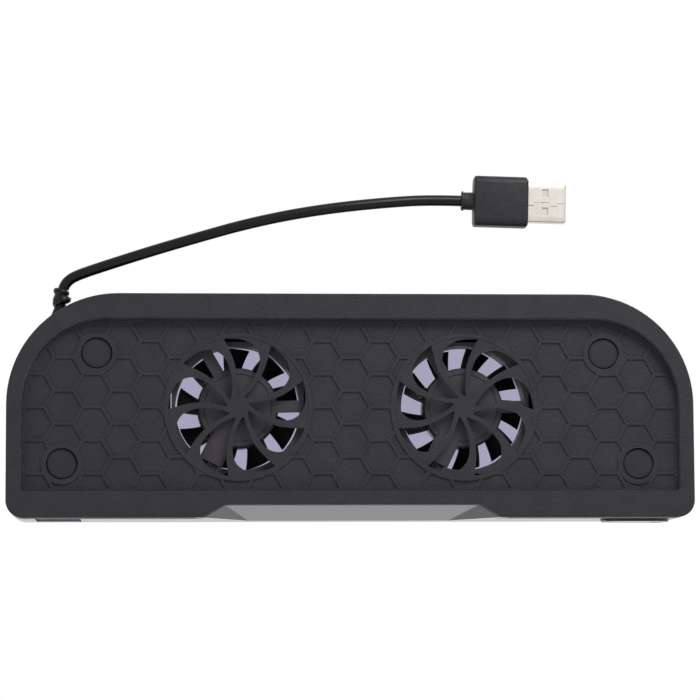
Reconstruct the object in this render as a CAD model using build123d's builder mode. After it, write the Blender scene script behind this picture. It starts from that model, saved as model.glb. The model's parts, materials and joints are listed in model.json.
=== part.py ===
"""Cooling dock for a game console, with two 40 mm fans, two USB sockets, a button and a short USB lead.

All sizes are in millimetres. +Z is up, the front face looks towards -Y, and the dock stands on its rim
at Z = 0. The origin is under the middle of the case.
"""

import os
from math import atan2, cos, degrees, hypot, pi, radians, sin, tan

from build123d import *

os.makedirs("parts", exist_ok=True)

# Case
case_length = 207.4
case_depth = 67.6
case_height = 31.0
back_corner_r = 33.5
front_corner_r = 5.2
wall = 2.2
seam_z = 8.0
seam_chamfer = 0.3
rim_edge = 0.5
top_edge_r = 1.6
button_proud = 0.8

# Underside of the base cover
rim_side = 4.4
rim_back = 7.5
rim_front = 8.0
recess_depth = 3.0
recess_corner_r = 1.2
floor_t = 2.0
cell_pitch = 10.0
lattice_w = 0.95
cell_depth = 0.45
smallest_cell = 1.5

# Swirl grilles under the fans
fan_room = 7.3
fan_offset_y = -0.3
grille_ribs = 9
grille_phase = -2.0
grille_ring_over = 2.4
grille_ring_w = 1.2
grille_ring_proud = 0.15
# edges of one opening: radius, and angle past the opening's tip
tip_edge = [(21.1, 0.0), (18.1, 2.5), (15.1, 5.5), (12.1, 8.0), (9.1, 9.0), (6.1, 8.0), (4.5, 5.5),
            (3.4, 3.5)]
round_edge = [(3.4, 12.5), (4.5, 27.0), (6.1, 35.5), (9.1, 40.0), (12.4, 39.8), (15.7, 36.8), (18.0, 31.3),
              (19.8, 22.8), (20.7, 11.0), (21.1, 0.0)]

# Rubber plugs over the case screws
rear_plug_in = 26.9
rear_plug_back = 17.8
front_plug_in = 16.6
front_plug_up = 16.35
plug_r = 4.6
plug_t = 1.7
plug_gap = 0.15
plug_sunk = 0.6
collar_r = 6.3
boss_web = 1.05
screw_head_r = 2.9
screw_head_t = 2.0
screw_core_r = 1.3
screw_hole_play = 0.4
screw_length = 14.0
screw_thread_play = 0.05
screw_cross_r = 1.3
screw_cross_w = 0.6
plug_edge = 0.4
pillar_r = 3.6

# Fans
fan_size = 40.0
fan_t = 10.0
fan_corner_r = 2.2
fan_stand_off = 1.5
fan_wall = 1.05
fan_flange_t = 2.0
fan_hole_in = 4.0
fan_hole_r = 1.75
fan_post_r = 2.1
holder_r = 11.7
holder_t = 1.8
label_r = 10.1
label_t = 0.12
label_pocket_t = 0.3
label_pocket_play = 0.2
label_tail_w = 6.2
label_tail_end = 0.5
strut_angles = [178.5, 60.0]
strut_w = 3.5
channel_angle = 296.5
channel_w = 7.4
channel_groove_w = 5.0
channel_groove_t = 1.15
bearing_r = 2.0
bearing_wall = 1.0
shaft_r = 0.9
shaft_play = 0.04
rotor_hub_r = 12.3
rotor_hub_wall = 0.9
rotor_hub_top = 1.2
rotor_tip_gap = 0.5
rotor_lift = 0.5
rotor_top_gap = 0.4
blade_count = 9
blade_span_deg = 25.5
blade_sweep_deg = 6.0
blade_root_t = 1.1
blade_tip_t = 0.7
blade_camber = 0.5
magnet_t = 1.4
air_gap = 0.6
stator_teeth = 4
# angle of a gap between blades, for the fan at each side
blade_phase = {"left": 0.6, "right": 23.3}
wire_r = 0.35
wire_pitch = 0.9
wire_turn = 1.2
fan_wire_step = (0.2, 0.55, 0.0)
tube_gap = 0.4
channel_start_r = 7.6
channel_exit_r = 24.5
wire_slot_l = 1.6
wire_slot_w = 2.6
driver_board_t = 0.8
driver_board_r = 9.2
shaft_end_gap = 0.4
magnet_lift = 0.5
stator_z = 4.0
stator_t = 2.6
stator_hub_r = 5.0
tooth_w = 3.2
tooth_foot_t = 1.2
tooth_foot_w = 8.4
coil_t = 0.9
rotor_edge_r = 0.6
fan_screw_head_r = 2.7
fan_screw_head_t = 1.8
fan_screw_length = 12.2
lane_run = 3.5
low_lane_up = 0.6
switch_wire_z = 11.0
switch_wire_in = 8.7
switch_wire_gap = 4.5
switch_wire_corner = 25.0
lead_core_r = 0.45

# Console seat and the air openings in it
seat_land = 6.2
seat_depth = 1.5
deck_t = 2.2
vent_play = 0.3
duct_wall = 1.4
duct_overlap = 1.5
strip_gap = 8.4
strip_w = 3.0
strip_t = 1.0
strip_sunk = 0.4
seat_edge_r = 0.4

# Chin: a wedge cut out of the front edge, lined with a glossy insert
chin_depth = 3.9
chin_rise = 20.8
chin_front_half = 45.3
chin_back_half = 38.5
chin_top_half = 30.7
chin_insert_t = 1.5
chin_play = 0.1
chin_lip = 1.2

# Stacked pair of USB sockets
usb_in = 15.3
usb_w = 13.2
usb_h = 15.8
usb_depth = 12.2
usb_sheet = 0.4
usb_recess = 0.2
usb_window_play = 0.2
usb_mouth_w = 12.5
usb_mouth_h = 5.12
usb_mouth_pitch = 8.2
usb_tongue_w = 11.1
usb_tongue_t = 1.84
usb_tongue_length = 9.2
usb_tongue_back = 0.9
usb_tongue_up = 0.35
usb_shell_r = 0.4
contact_back = 0.8
contact_pitch = 2.5
contact_w = 1.0
contact_t = 0.2

# Boards
board_t = 1.6
board_over_boss = 0.1
board_length = 37.0
board_end = 5.2
board_back_gap = 25.2
board_post_r = 2.2
board_screw_r = 0.9
board_hole_play = 0.2
board_edge_play = 0.6
board_post_in = 4.5
board_post_back = 5.0
board_post_y = -6.0
board_post_front = 6.9
usb_post_in = 13.4
board_screw_depth = 1.0
board_screw_head_r = 1.8
board_screw_head_t = 1.2
chip_in = 19.5
chip_y = -3.0
chip_w = 9.0
chip_t = 1.4
inductor_in = 8.5
inductor_y = -4.0
inductor_w = 6.0
inductor_t = 3.0
capacitor_in = 24.5
capacitor_up = 18.4
capacitor_r = 3.15
capacitor_h = 7.0
# wire sockets: distances of the two fan sockets from the front, and of all from the board's edges
fan_socket_up = (8.4, 12.4)
fan_socket_in = 2.5
switch_socket_in = 7.0
lead_socket_in = 8.5
back_socket_gap = 1.2
socket_l = 5.0
socket_w = 3.6
socket_h = 3.4

# Push button
button_in = 16.1
button_z = 16.0
button_w = 21.0
button_h = 12.0
button_play = 0.3
button_travel = 0.8
button_flange = 1.0
button_flange_t = 1.0
button_flange_gap = 0.1
button_lens_w = 3.7
button_lens_h = 6.0
switch_size = 6.0
switch_t = 3.4
switch_gap = 0.3
plunger_r = 1.7
plunger_play = 0.08
plunger_depth = 1.4
button_edge_r = 0.5
lens_out = 2.1
lens_sunk = 0.1
light_w = 3.0
light_t = 1.5
switch_board_w = 22.0
switch_board_h = 14.0
board_slot_play = 0.1
post_w = 4.6

# Cable and gland
cable_d = 3.0
gland_in = 16.2
gland_back = 0.2
# the lead's route, from the gland's lip to the plug
cable_route = [(87.5, 34.4, 8.0), (86.95, 37.0, 8.0), (85.1, 39.3, 7.8), (81.5, 40.9, 7.3), (73.6, 43.4, 6.0),
               (60.8, 47.3, 4.0), (46.8, 51.3, 2.4), (32.5, 55.3, 1.5), (18.0, 58.5, 1.5), (3.2, 60.8, 1.5),
               (-12.0, 62.5, 2.7), (-24.0, 63.46, 4.0), (-33.8, 63.2, 4.0)]
arc_share = 0.45
gland_tilt = 12.0
gland_neck_r = 2.0
gland_groove_r = 1.8
gland_tip_r = 2.45
gland_tip_t = 1.9
gland_collar_r = 2.8
gland_collar_t = 1.7
gland_collar_out = 5.0
gland_collar_tilt = 20.0
gland_flange_r = 2.8
gland_flange_t = 1.5
gland_length = 15.2
gland_play = 0.1
tail_play = 0.05
tail_length = 3.0

# USB plug on the end of the cable
plug_body_l = 16.6
plug_body_w = 15.3
plug_body_t = 8.0
plug_body_edge = 1.6
plug_end_edge = 1.2
plug_relief_l = 3.7
plug_relief_r = 3.0
plug_lip_r = 3.3
plug_lip_t = 0.8
plug_turn = 181.5
shell_l = 11.6
shell_w = 12.0
shell_h = 4.5
shell_sheet = 0.35
shell_window_w = 2.4
shell_window_l = 1.9
shell_window_pitch = 5.6
shell_window_out = 5.2
shell_hold = 4.0
plug_tongue_t = 1.9
plug_tongue_back = 0.3

# Values worked out from the sizes above
mid_y = button_proud / 2
front_y = mid_y - case_depth / 2
back_y = mid_y + case_depth / 2
half_l = case_length / 2
panel_z = recess_depth
floor_top = panel_z + floor_t
inner_front = front_y + wall
board_right = half_l - board_end
board_left = board_right - board_length
fan_out = board_left - fan_room - fan_size / 2
fan_y = mid_y + fan_offset_y
fan_x = {"left": -fan_out, "right": fan_out}
fan_bore_r = fan_size / 2 - fan_wall
fan_hole_spacing = fan_size - 2 * fan_hole_in
rotor_tip_r = fan_bore_r - rotor_tip_gap
grille_ring_r = fan_size / 2 + grille_ring_over
fan_z = floor_top + fan_stand_off
fan_top = fan_z + fan_t
deck_z = case_height - seat_depth
deck_under = deck_z - deck_t
seat_margin = case_depth / 2 - fan_size / 2 - vent_play - seat_land
strip_y = fan_size / 2 + vent_play + seat_land / 2
strip_length = 2 * fan_out - strip_gap
rear_plug_x = half_l - rear_plug_in
rear_plug_y = back_y - rear_plug_back
front_plug_x = half_l - front_plug_in
front_plug_y = front_y + front_plug_up
screw_places = [(-rear_plug_x, rear_plug_y), (rear_plug_x, rear_plug_y),
                (-front_plug_x, front_plug_y), (front_plug_x, front_plug_y)]
plug_names = ["rear_left", "rear_right", "front_left", "front_right"]
pocket_top = panel_z + plug_sunk + plug_t
head_top = pocket_top + screw_head_t + plug_gap
screw_boss_top = head_top + boss_web
board_z = screw_boss_top + board_over_boss - board_t
board_top = board_z + board_t
board_front = inner_front + board_edge_play
board_back = back_y - board_back_gap
usb_x = half_l - usb_in
board_posts = [(board_left + board_post_in, board_post_y),
               (board_right - board_post_in, board_back - board_post_back),
               (usb_x - usb_post_in, front_y + board_post_front)]
chip_x = board_right - chip_in
inductor_x = board_right - inductor_in
capacitor_x = board_right - capacitor_in
capacitor_y = front_y + capacitor_up
# wire sockets: place of the mouth, and the way the socket lies behind it
socket_places = [(board_left + fan_socket_in, front_y + fan_socket_up[0], 0),
                 (board_left + fan_socket_in, front_y + fan_socket_up[1], 0),
                 (board_left + switch_socket_in, board_back - back_socket_gap, -90),
                 (board_right - lead_socket_in, board_back - back_socket_gap, -90)]
button_x = button_in - half_l
gland_turn = Plane(origin=(half_l - gland_in, back_y + gland_back, seam_z),
                   x_dir=(cos(radians(gland_tilt)), sin(radians(gland_tilt)), 0),
                   z_dir=(-sin(radians(gland_tilt)), cos(radians(gland_tilt)), 0))
usb_z = board_top + usb_h / 2
button_back = inner_front + button_flange_gap + button_flange_t
switch_front = button_back + button_travel + switch_gap
switch_board_y = switch_front + switch_t + board_t / 2
usb_front = front_y + usb_recess


def save(solid, name):
    """Labels one piece and writes it as a STEP file of its own."""
    solid.label = name
    export_step(solid, f"parts/{name}.step")


def trace_outline(side, back, front, big_r, small_r):
    """Traces a closed outline, alike left and right, with big corners behind and small ones in front."""
    Line((-side + big_r, back), (side - big_r, back))
    CenterArc((side - big_r, back - big_r), big_r, 0, 90)
    Line((side, back - big_r), (side, front + small_r))
    CenterArc((side - small_r, front + small_r), small_r, 270, 90)
    Line((side - small_r, front), (-side + small_r, front))
    CenterArc((-side + small_r, front + small_r), small_r, 180, 90)
    Line((-side, front + small_r), (-side, back - big_r))
    CenterArc((-side + big_r, back - big_r), big_r, 90, 90)


def case_face(inset):
    """Gives the face inside the case's outline, drawn in by inset."""
    with BuildSketch() as face:
        with BuildLine():
            trace_outline(half_l - inset, back_y - inset, front_y + inset,
                          back_corner_r - inset, max(front_corner_r - inset, seam_chamfer))
        make_face()
    return face.sketch


def recess_face(inset):
    """Gives the face inside the outline of the recessed panel, drawn in by inset."""
    with BuildSketch() as face:
        with BuildLine():
            trace_outline(half_l - rim_side - inset, back_y - rim_back - inset, front_y + rim_front + inset,
                          back_corner_r - rim_back - inset, recess_corner_r)
        make_face()
    return face.sketch


def chin_wedge(grow, low, high):
    """Makes the wedge of the chin between two heights, with its walls set back by grow."""
    slope = atan2(chin_depth, chin_rise)
    left_end = Plane(origin=(-chin_back_half, front_y + chin_depth, 0),
                     x_dir=(chin_back_half - chin_front_half, -chin_depth, 0),
                     z_dir=Vector(chin_back_half - chin_front_half, -chin_depth, 0).cross(
                         Vector(chin_back_half - chin_top_half, -chin_depth, chin_rise)))
    with BuildPart(mode=Mode.PRIVATE) as wedge:
        with Locations((0, front_y, low)):
            Box(3 * chin_front_half, 8 * chin_depth, high - low,
                align=(Align.CENTER, Align.CENTER, Align.MIN))
        back_plane = Plane(origin=(0, front_y + chin_depth, 0), x_dir=(1, 0, 0),
                           z_dir=(0, cos(slope), sin(slope)))
        split(bisect_by=back_plane.offset(grow), keep=Keep.BOTTOM)
        end_normal = left_end.z_dir if left_end.z_dir.X < 0 else left_end.z_dir * -1
        end_plane = Plane(origin=left_end.origin, x_dir=left_end.x_dir, z_dir=end_normal).offset(grow)
        split(bisect_by=end_plane, keep=Keep.BOTTOM)
        mirrored_plane = Plane(origin=(-end_plane.origin.X, end_plane.origin.Y, end_plane.origin.Z),
                               x_dir=(-end_plane.x_dir.X, end_plane.x_dir.Y, end_plane.x_dir.Z),
                               z_dir=(-end_plane.z_dir.X, end_plane.z_dir.Y, end_plane.z_dir.Z))
        split(bisect_by=mirrored_plane, keep=Keep.BOTTOM)
        block((-half_l, half_l), (front_y, back_y), (low, high), Mode.INTERSECT)
    return wedge.part


def polar(radius, angle):
    """Gives the point at a radius and an angle in degrees."""
    return (radius * cos(radians(angle)), radius * sin(radians(angle)))


def round_post(x, y, low, high, radius, mode=Mode.ADD):
    """Adds an upright cylinder between two heights to the current part."""
    with Locations((x, y, low)):
        Cylinder(radius, high - low, align=(Align.CENTER, Align.CENTER, Align.MIN), mode=mode)


def block(x_range, y_range, z_range, mode=Mode.ADD):
    """Adds a box between two corners to the current part."""
    centre = [(low + high) / 2 for low, high in (x_range, y_range, z_range)]
    size = [high - low for low, high in (x_range, y_range, z_range)]
    with Locations(tuple(centre)):
        Box(*size, mode=mode)


# Swirl grille: one opening, and the ring of nine for each side (the two grilles are mirror images)
with BuildSketch() as opening:
    with BuildLine():
        Spline([polar(radius, angle) for radius, angle in tip_edge])
        Line(polar(*tip_edge[-1]), polar(*round_edge[0]))
        Spline([polar(radius, angle) for radius, angle in round_edge])
    make_face()

with BuildSketch() as right_openings:
    with PolarLocations(0, grille_ribs, start_angle=grille_phase):
        add(opening.sketch)

with BuildSketch() as left_openings:
    mirror(right_openings.sketch, about=Plane.YZ)

grille_openings = {"left": left_openings.sketch, "right": right_openings.sketch}

# Honeycomb pockets, kept where the panel has room for them
column_pitch = cell_pitch * cos(pi / 6)
cell_r = (cell_pitch - lattice_w) / 2 / cos(pi / 6)
columns = int(half_l / column_pitch) + 1
rows = int(case_depth / cell_pitch / 2) + 1
cell_centres = [(i * column_pitch, fan_y + (j + (i % 2) / 2) * cell_pitch)
                for i in range(-columns, columns + 1) for j in range(-rows - 1, rows + 1)]

with BuildSketch() as honeycomb:
    with Locations(*cell_centres):
        RegularPolygon(cell_r, 6)
    add(recess_face(lattice_w), mode=Mode.INTERSECT)
    for side in fan_x:
        with Locations((fan_x[side], fan_y)):
            Circle(grille_ring_r, mode=Mode.SUBTRACT)
    with Locations(*screw_places):
        Circle(collar_r, mode=Mode.SUBTRACT)
honeycomb_cells = [face for face in honeycomb.sketch.faces() if face.area > smallest_cell]

# Case screws, plugs and the base cover
with BuildPart() as base_cover:
    with BuildSketch():
        add(case_face(0))
    extrude(amount=seam_z)
    chamfer(base_cover.edges().group_by(Axis.Z)[-1], seam_chamfer)
    fillet(base_cover.edges().group_by(Axis.Z)[0], rim_edge)
    with BuildSketch(Plane.XY.offset(floor_top)):
        add(case_face(wall))
    extrude(amount=seam_z - floor_top, mode=Mode.SUBTRACT)
    with BuildSketch():
        add(recess_face(0))
    extrude(amount=recess_depth, mode=Mode.SUBTRACT)
    add(chin_wedge(chin_insert_t + chin_play + wall, panel_z, seam_z))
    add(chin_wedge(0, -rim_edge, chin_lip), mode=Mode.SUBTRACT)
    add(chin_wedge(chin_insert_t + chin_play, chin_lip, seam_z), mode=Mode.SUBTRACT)
    for x, y in screw_places:
        round_post(x, y, panel_z, screw_boss_top, collar_r)
        round_post(x, y, panel_z, pocket_top, plug_r + plug_gap, Mode.SUBTRACT)
        round_post(x, y, pocket_top, head_top, screw_head_r + plug_gap, Mode.SUBTRACT)
        round_post(x, y, head_top, screw_boss_top, screw_core_r + screw_hole_play, Mode.SUBTRACT)
    for x, y in board_posts:
        round_post(x, y, floor_top, board_z, board_post_r)
        round_post(x, y, floor_top - board_screw_depth, board_z, board_screw_r, Mode.SUBTRACT)
    for end in (-1, 1):
        x = button_x + end * (switch_board_w / 2)
        block((x - post_w / 2, x + post_w / 2), (switch_board_y - post_w / 2, switch_board_y + post_w / 2),
              (floor_top, button_z))
    block((button_x - switch_board_w / 2 - board_slot_play, button_x + switch_board_w / 2 + board_slot_play),
          (switch_board_y - board_t / 2 - board_slot_play, switch_board_y + board_t / 2 + board_slot_play),
          (button_z - switch_board_h / 2 - board_slot_play, button_z), Mode.SUBTRACT)
    for side in fan_x:
        with BuildSketch(Plane.XY.offset(panel_z - grille_ring_proud)):
            with Locations((fan_x[side], fan_y)):
                Circle(grille_ring_r)
                Circle(grille_ring_r - grille_ring_w, mode=Mode.SUBTRACT)
        extrude(amount=grille_ring_proud)
        for dx in (-fan_hole_spacing / 2, fan_hole_spacing / 2):
            for dy in (-fan_hole_spacing / 2, fan_hole_spacing / 2):
                round_post(fan_x[side] + dx, fan_y + dy, panel_z + floor_t / 2, fan_z, fan_post_r)
                round_post(fan_x[side] + dx, fan_y + dy, panel_z + floor_t / 2, fan_z,
                           screw_core_r, Mode.SUBTRACT)
        with BuildSketch(Plane.XY.offset(panel_z)):
            with Locations((fan_x[side], fan_y)):
                add(grille_openings[side])
        extrude(amount=floor_t, mode=Mode.SUBTRACT)
    with BuildSketch(gland_turn.offset(-gland_length)):
        Circle(gland_neck_r + gland_play)
    extrude(amount=gland_length, mode=Mode.SUBTRACT)
    with BuildSketch(gland_turn.offset(-gland_length - gland_play)):
        Circle(gland_flange_r + gland_play)
    extrude(amount=gland_flange_t + 2 * gland_play, mode=Mode.SUBTRACT)
    with BuildSketch(Plane.XY.offset(panel_z)):
        add(honeycomb_cells)
    extrude(amount=cell_depth, mode=Mode.SUBTRACT)
save(base_cover.part, "base_cover")

for place, (x, y) in zip(plug_names, screw_places):
    with BuildPart() as screw_plug:
        round_post(x, y, pocket_top - plug_t, pocket_top, plug_r)
        fillet(screw_plug.edges().group_by(Axis.Z)[0], plug_edge)
    save(screw_plug.part, f"{place}_screw_plug")

with BuildPart() as case_screws:
    for x, y in screw_places:
        round_post(x, y, head_top - screw_head_t, head_top, screw_head_r)
        round_post(x, y, head_top, head_top + screw_length, screw_core_r - screw_thread_play)
        with BuildSketch(Plane.XY.offset(head_top - screw_head_t)):
            with Locations((x, y)):
                RectangleRounded(2 * screw_cross_r, screw_cross_w, screw_cross_w / 3)
                RectangleRounded(screw_cross_w, 2 * screw_cross_r, screw_cross_w / 3)
        extrude(amount=screw_head_t / 2, mode=Mode.SUBTRACT)
save(case_screws.part, "case_screws")

# Top housing, with the seat for the console, two ducts down to the fans and four screw pillars
with BuildPart() as top_housing:
    with BuildSketch(Plane.XY.offset(seam_z)):
        add(case_face(0))
    extrude(amount=case_height - seam_z)
    chamfer(top_housing.edges().group_by(Axis.Z)[0], seam_chamfer)
    fillet(top_housing.edges().group_by(Axis.Z)[-1], top_edge_r)
    with BuildSketch(Plane.XY.offset(deck_z)):
        add(case_face(seat_margin))
    extrude(amount=seat_depth, mode=Mode.SUBTRACT)
    fillet(top_housing.edges().filter_by(Plane.XY).group_by(Axis.Z)[-1], seat_edge_r)
    with BuildSketch(Plane.XY.offset(seam_z)):
        add(case_face(wall))
    extrude(amount=deck_under - seam_z, mode=Mode.SUBTRACT)
    add(chin_wedge(chin_insert_t + chin_play + wall, seam_z, chin_rise + chin_play + wall))
    add(chin_wedge(chin_insert_t + chin_play, seam_z, chin_rise + chin_play), mode=Mode.SUBTRACT)
    duct = fan_size / 2 + vent_play
    for side in fan_x:
        with BuildSketch(Plane.XY.offset(fan_top - duct_overlap)):
            with Locations((fan_x[side], fan_y)):
                RectangleRounded(2 * (duct + duct_wall), 2 * (duct + duct_wall), fan_corner_r + duct_wall)
        extrude(amount=deck_z - fan_top + duct_overlap)
        with BuildSketch(Plane.XY.offset(fan_top - duct_overlap)):
            with Locations((fan_x[side], fan_y)):
                RectangleRounded(2 * duct, 2 * duct, fan_corner_r)
        extrude(amount=deck_z - fan_top + duct_overlap, mode=Mode.SUBTRACT)
    for x, y in screw_places:
        round_post(x, y, screw_boss_top, deck_under, pillar_r)
        round_post(x, y, screw_boss_top, head_top + screw_length + plug_gap, screw_core_r, Mode.SUBTRACT)
    block((usb_x - usb_w / 2 - usb_window_play, usb_x + usb_w / 2 + usb_window_play),
          (front_y, front_y + usb_depth),
          (board_top - usb_window_play, board_top + usb_h + usb_window_play), Mode.SUBTRACT)
    with BuildSketch(Plane.XZ.offset(-front_y)):
        with Locations((button_x, button_z)):
            SlotOverall(button_w + 2 * button_play, button_h + 2 * button_play)
    extrude(amount=-wall, mode=Mode.SUBTRACT)
    with BuildSketch(gland_turn.offset(-gland_length)):
        Circle(gland_neck_r + gland_play)
    extrude(amount=gland_length, mode=Mode.SUBTRACT)
    for side in fan_x:
        for end in (-1, 1):
            y = mid_y + end * strip_y
            block((fan_x[side] - strip_length / 2, fan_x[side] + strip_length / 2),
                  (y - strip_w / 2, y + strip_w / 2), (deck_z - strip_sunk, deck_z), Mode.SUBTRACT)
save(top_housing.part, "top_housing")

with BuildPart() as rubber_strips:
    for side in fan_x:
        for end in (-1, 1):
            with BuildSketch(Plane.XY.offset(deck_z - strip_sunk)):
                with Locations((fan_x[side], mid_y + end * strip_y)):
                    RectangleRounded(strip_length, strip_w, strip_w / 3)
            extrude(amount=strip_t)
save(rubber_strips.part, "rubber_strips")

with BuildPart() as chin_insert:
    add(chin_wedge(chin_insert_t, chin_lip, chin_rise))
    add(chin_wedge(0, chin_lip, chin_rise), mode=Mode.SUBTRACT)
save(chin_insert.part, "chin_insert")


def put_fan_piece(piece, name):
    """Saves a copy of a fan piece, made about its own axis, for the fan at each side."""
    for side in fan_x:
        with BuildPart() as placed:
            with Locations((fan_x[side], fan_y, fan_z)):
                add(piece)
        save(placed.part, f"{side}_{name}")


def radial_bar(angle, r_range, width, z_range, mode=Mode.ADD):
    """Adds a bar along a radius, between two radii and two heights."""
    with Locations(Location((0, 0, z_range[0]), (0, 0, angle)) * Location((sum(r_range) / 2, 0, 0))):
        Box(r_range[1] - r_range[0], width, z_range[1] - z_range[0],
            align=(Align.CENTER, Align.CENTER, Align.MIN), mode=mode)


# Fan frame: two square flanges on a barrel, and a motor holder on three struts, one with the wire channel
tube_top = fan_t - rotor_top_gap - rotor_hub_top - tube_gap
frame_corner = fan_hole_spacing / 2
with BuildPart() as fan_frame:
    for low in (0, fan_t - fan_flange_t):
        with BuildSketch(Plane.XY.offset(low)):
            RectangleRounded(fan_size, fan_size, fan_corner_r)
            with GridLocations(fan_hole_spacing, fan_hole_spacing, 2, 2):
                Circle(fan_hole_r, mode=Mode.SUBTRACT)
        extrude(amount=fan_flange_t)
    round_post(0, 0, 0, fan_t, fan_size / 2)
    round_post(0, 0, 0, fan_t, fan_bore_r, Mode.SUBTRACT)
    round_post(0, 0, 0, holder_t, holder_r)
    for angle in strut_angles:
        radial_bar(angle, (holder_r / 2, (fan_bore_r + fan_size / 2) / 2), strut_w, (0, holder_t))
    radial_bar(channel_angle, (holder_r / 2, (fan_bore_r + fan_size / 2) / 2), channel_w, (0, holder_t))
    radial_bar(channel_angle, (channel_start_r, fan_size), channel_groove_w, (0, channel_groove_t),
               Mode.SUBTRACT)
    radial_bar(channel_angle, (channel_start_r, channel_start_r + wire_slot_l), wire_slot_w, (0, holder_t),
               Mode.SUBTRACT)
    round_post(0, 0, 0, label_pocket_t, label_r + label_pocket_play, Mode.SUBTRACT)
    radial_bar(channel_angle, (0, fan_bore_r), label_tail_w + 2 * label_pocket_play, (0, label_pocket_t),
               Mode.SUBTRACT)
    round_post(0, 0, holder_t, tube_top, bearing_r + bearing_wall)
    round_post(0, 0, holder_t, tube_top, bearing_r, Mode.SUBTRACT)
put_fan_piece(fan_frame.part, "fan_frame")

with BuildPart() as fan_label:
    round_post(0, 0, label_pocket_t - label_t, label_pocket_t, label_r)
    radial_bar(channel_angle, (0, fan_bore_r - label_tail_end), label_tail_w,
               (label_pocket_t - label_t, label_pocket_t))
put_fan_piece(fan_label.part, "fan_label")

with BuildPart() as bearing:
    round_post(0, 0, holder_t, tube_top, bearing_r)
    round_post(0, 0, holder_t, tube_top, shaft_r + shaft_play, Mode.SUBTRACT)
put_fan_piece(bearing.part, "fan_bearing")

with BuildPart() as driver_board:
    round_post(0, 0, holder_t, holder_t + driver_board_t, driver_board_r)
    round_post(0, 0, holder_t, holder_t + driver_board_t, bearing_r + bearing_wall + board_hole_play,
               Mode.SUBTRACT)
put_fan_piece(driver_board.part, "fan_driver_board")

# Motor: four wound teeth inside a ring magnet
rotor_bottom = holder_t + rotor_lift
rotor_top = fan_t - rotor_top_gap
magnet_r = rotor_hub_r - rotor_hub_wall
tooth_tip_r = magnet_r - magnet_t - air_gap
with BuildPart() as stator_core:
    round_post(0, 0, stator_z, stator_z + stator_t, stator_hub_r)
    with PolarLocations(0, stator_teeth):
        with Locations((tooth_tip_r / 2, 0, stator_z)):
            Box(tooth_tip_r, tooth_w, stator_t, align=(Align.CENTER, Align.CENTER, Align.MIN))
        with Locations((tooth_tip_r - tooth_foot_t / 2, 0, stator_z)):
            Box(tooth_foot_t, tooth_foot_w, stator_t, align=(Align.CENTER, Align.CENTER, Align.MIN))
    round_post(0, 0, stator_z, stator_z + stator_t, tooth_tip_r, Mode.INTERSECT)
    round_post(0, 0, stator_z, stator_z + stator_t, bearing_r + bearing_wall, Mode.SUBTRACT)
put_fan_piece(stator_core.part, "stator_core")

coil_length = tooth_tip_r - tooth_foot_t - stator_hub_r
with BuildPart() as stator_coils:
    with PolarLocations(0, stator_teeth):
        with Locations((stator_hub_r + coil_length / 2, 0, stator_z + stator_t / 2)):
            Box(coil_length, tooth_w + 2 * coil_t, stator_t + 2 * coil_t)
            Box(coil_length, tooth_w, stator_t, mode=Mode.SUBTRACT)
    fillet(stator_coils.edges().filter_by(lambda edge: abs(edge.length - coil_length) < coil_t / 10
                                          and edge.center().Z > stator_z + stator_t + coil_t / 2), coil_t / 2)
put_fan_piece(stator_coils.part, "stator_coils")

with BuildPart() as ring_magnet:
    round_post(0, 0, rotor_bottom + magnet_lift, rotor_top - rotor_hub_top, magnet_r)
    round_post(0, 0, rotor_bottom + magnet_lift, rotor_top - rotor_hub_top, magnet_r - magnet_t,
               Mode.SUBTRACT)
put_fan_piece(ring_magnet.part, "rotor_magnet")

with BuildPart() as rotor_shaft:
    round_post(0, 0, holder_t + shaft_end_gap, rotor_top, shaft_r)
put_fan_piece(rotor_shaft.part, "rotor_shaft")

# Rotor: nine blades round a cup; each blade is lofted between curved sections square to its radius
blade_low = rotor_bottom
blade_high = rotor_top - rotor_hub_top / 4
with BuildPart() as blade:
    for radius, thickness in ((rotor_hub_r - rotor_hub_wall / 2, blade_root_t),
                              ((rotor_hub_r + rotor_tip_r) / 2, (blade_root_t + blade_tip_t) / 2),
                              (rotor_tip_r + blade_tip_t, blade_tip_t)):
        turn = blade_sweep_deg * (radius - rotor_hub_r) / (rotor_tip_r - rotor_hub_r)
        outward = Vector(cos(radians(turn)), sin(radians(turn)), 0)
        half = radius * tan(radians(blade_span_deg / 2)) - thickness / 2
        low = Vector(-half, blade_low)
        high = Vector(half, blade_high)
        middle = (low + high) / 2
        square = Vector(low.Y - high.Y, high.X - low.X).normalized()
        skin = square * (thickness / 2)
        bow = square * blade_camber
        with BuildSketch(Plane(origin=outward * radius, x_dir=(-outward.Y, outward.X, 0), z_dir=outward)):
            with BuildLine():
                ThreePointArc(low - skin, middle + bow - skin, high - skin)
                Line(high - skin, high + skin)
                ThreePointArc(high + skin, middle + bow + skin, low + skin)
                Line(low + skin, low - skin)
            make_face()
    loft()
    round_post(0, 0, blade_low, blade_high, rotor_tip_r, Mode.INTERSECT)

with BuildPart() as rotor:
    round_post(0, 0, rotor_bottom, rotor_top, rotor_hub_r)
    fillet(rotor.edges().group_by(Axis.Z)[-1], rotor_edge_r)
    with PolarLocations(0, blade_count):
        add(blade.part)
    round_post(0, 0, rotor_bottom, rotor_top - rotor_hub_top, magnet_r, Mode.SUBTRACT)
    round_post(0, 0, rotor_bottom, rotor_top, shaft_r, Mode.SUBTRACT)
print("rotor", rotor.part.volume, len(rotor.part.solids()))
for side in fan_x:
    gap_half = 180 / blade_count
    with BuildPart() as placed_rotor:
        with Locations(Location((fan_x[side], fan_y, fan_z), (0, 0, blade_phase[side] + gap_half))):
            add(rotor.part)
    save(placed_rotor.part, f"{side}_fan_rotor")

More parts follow.
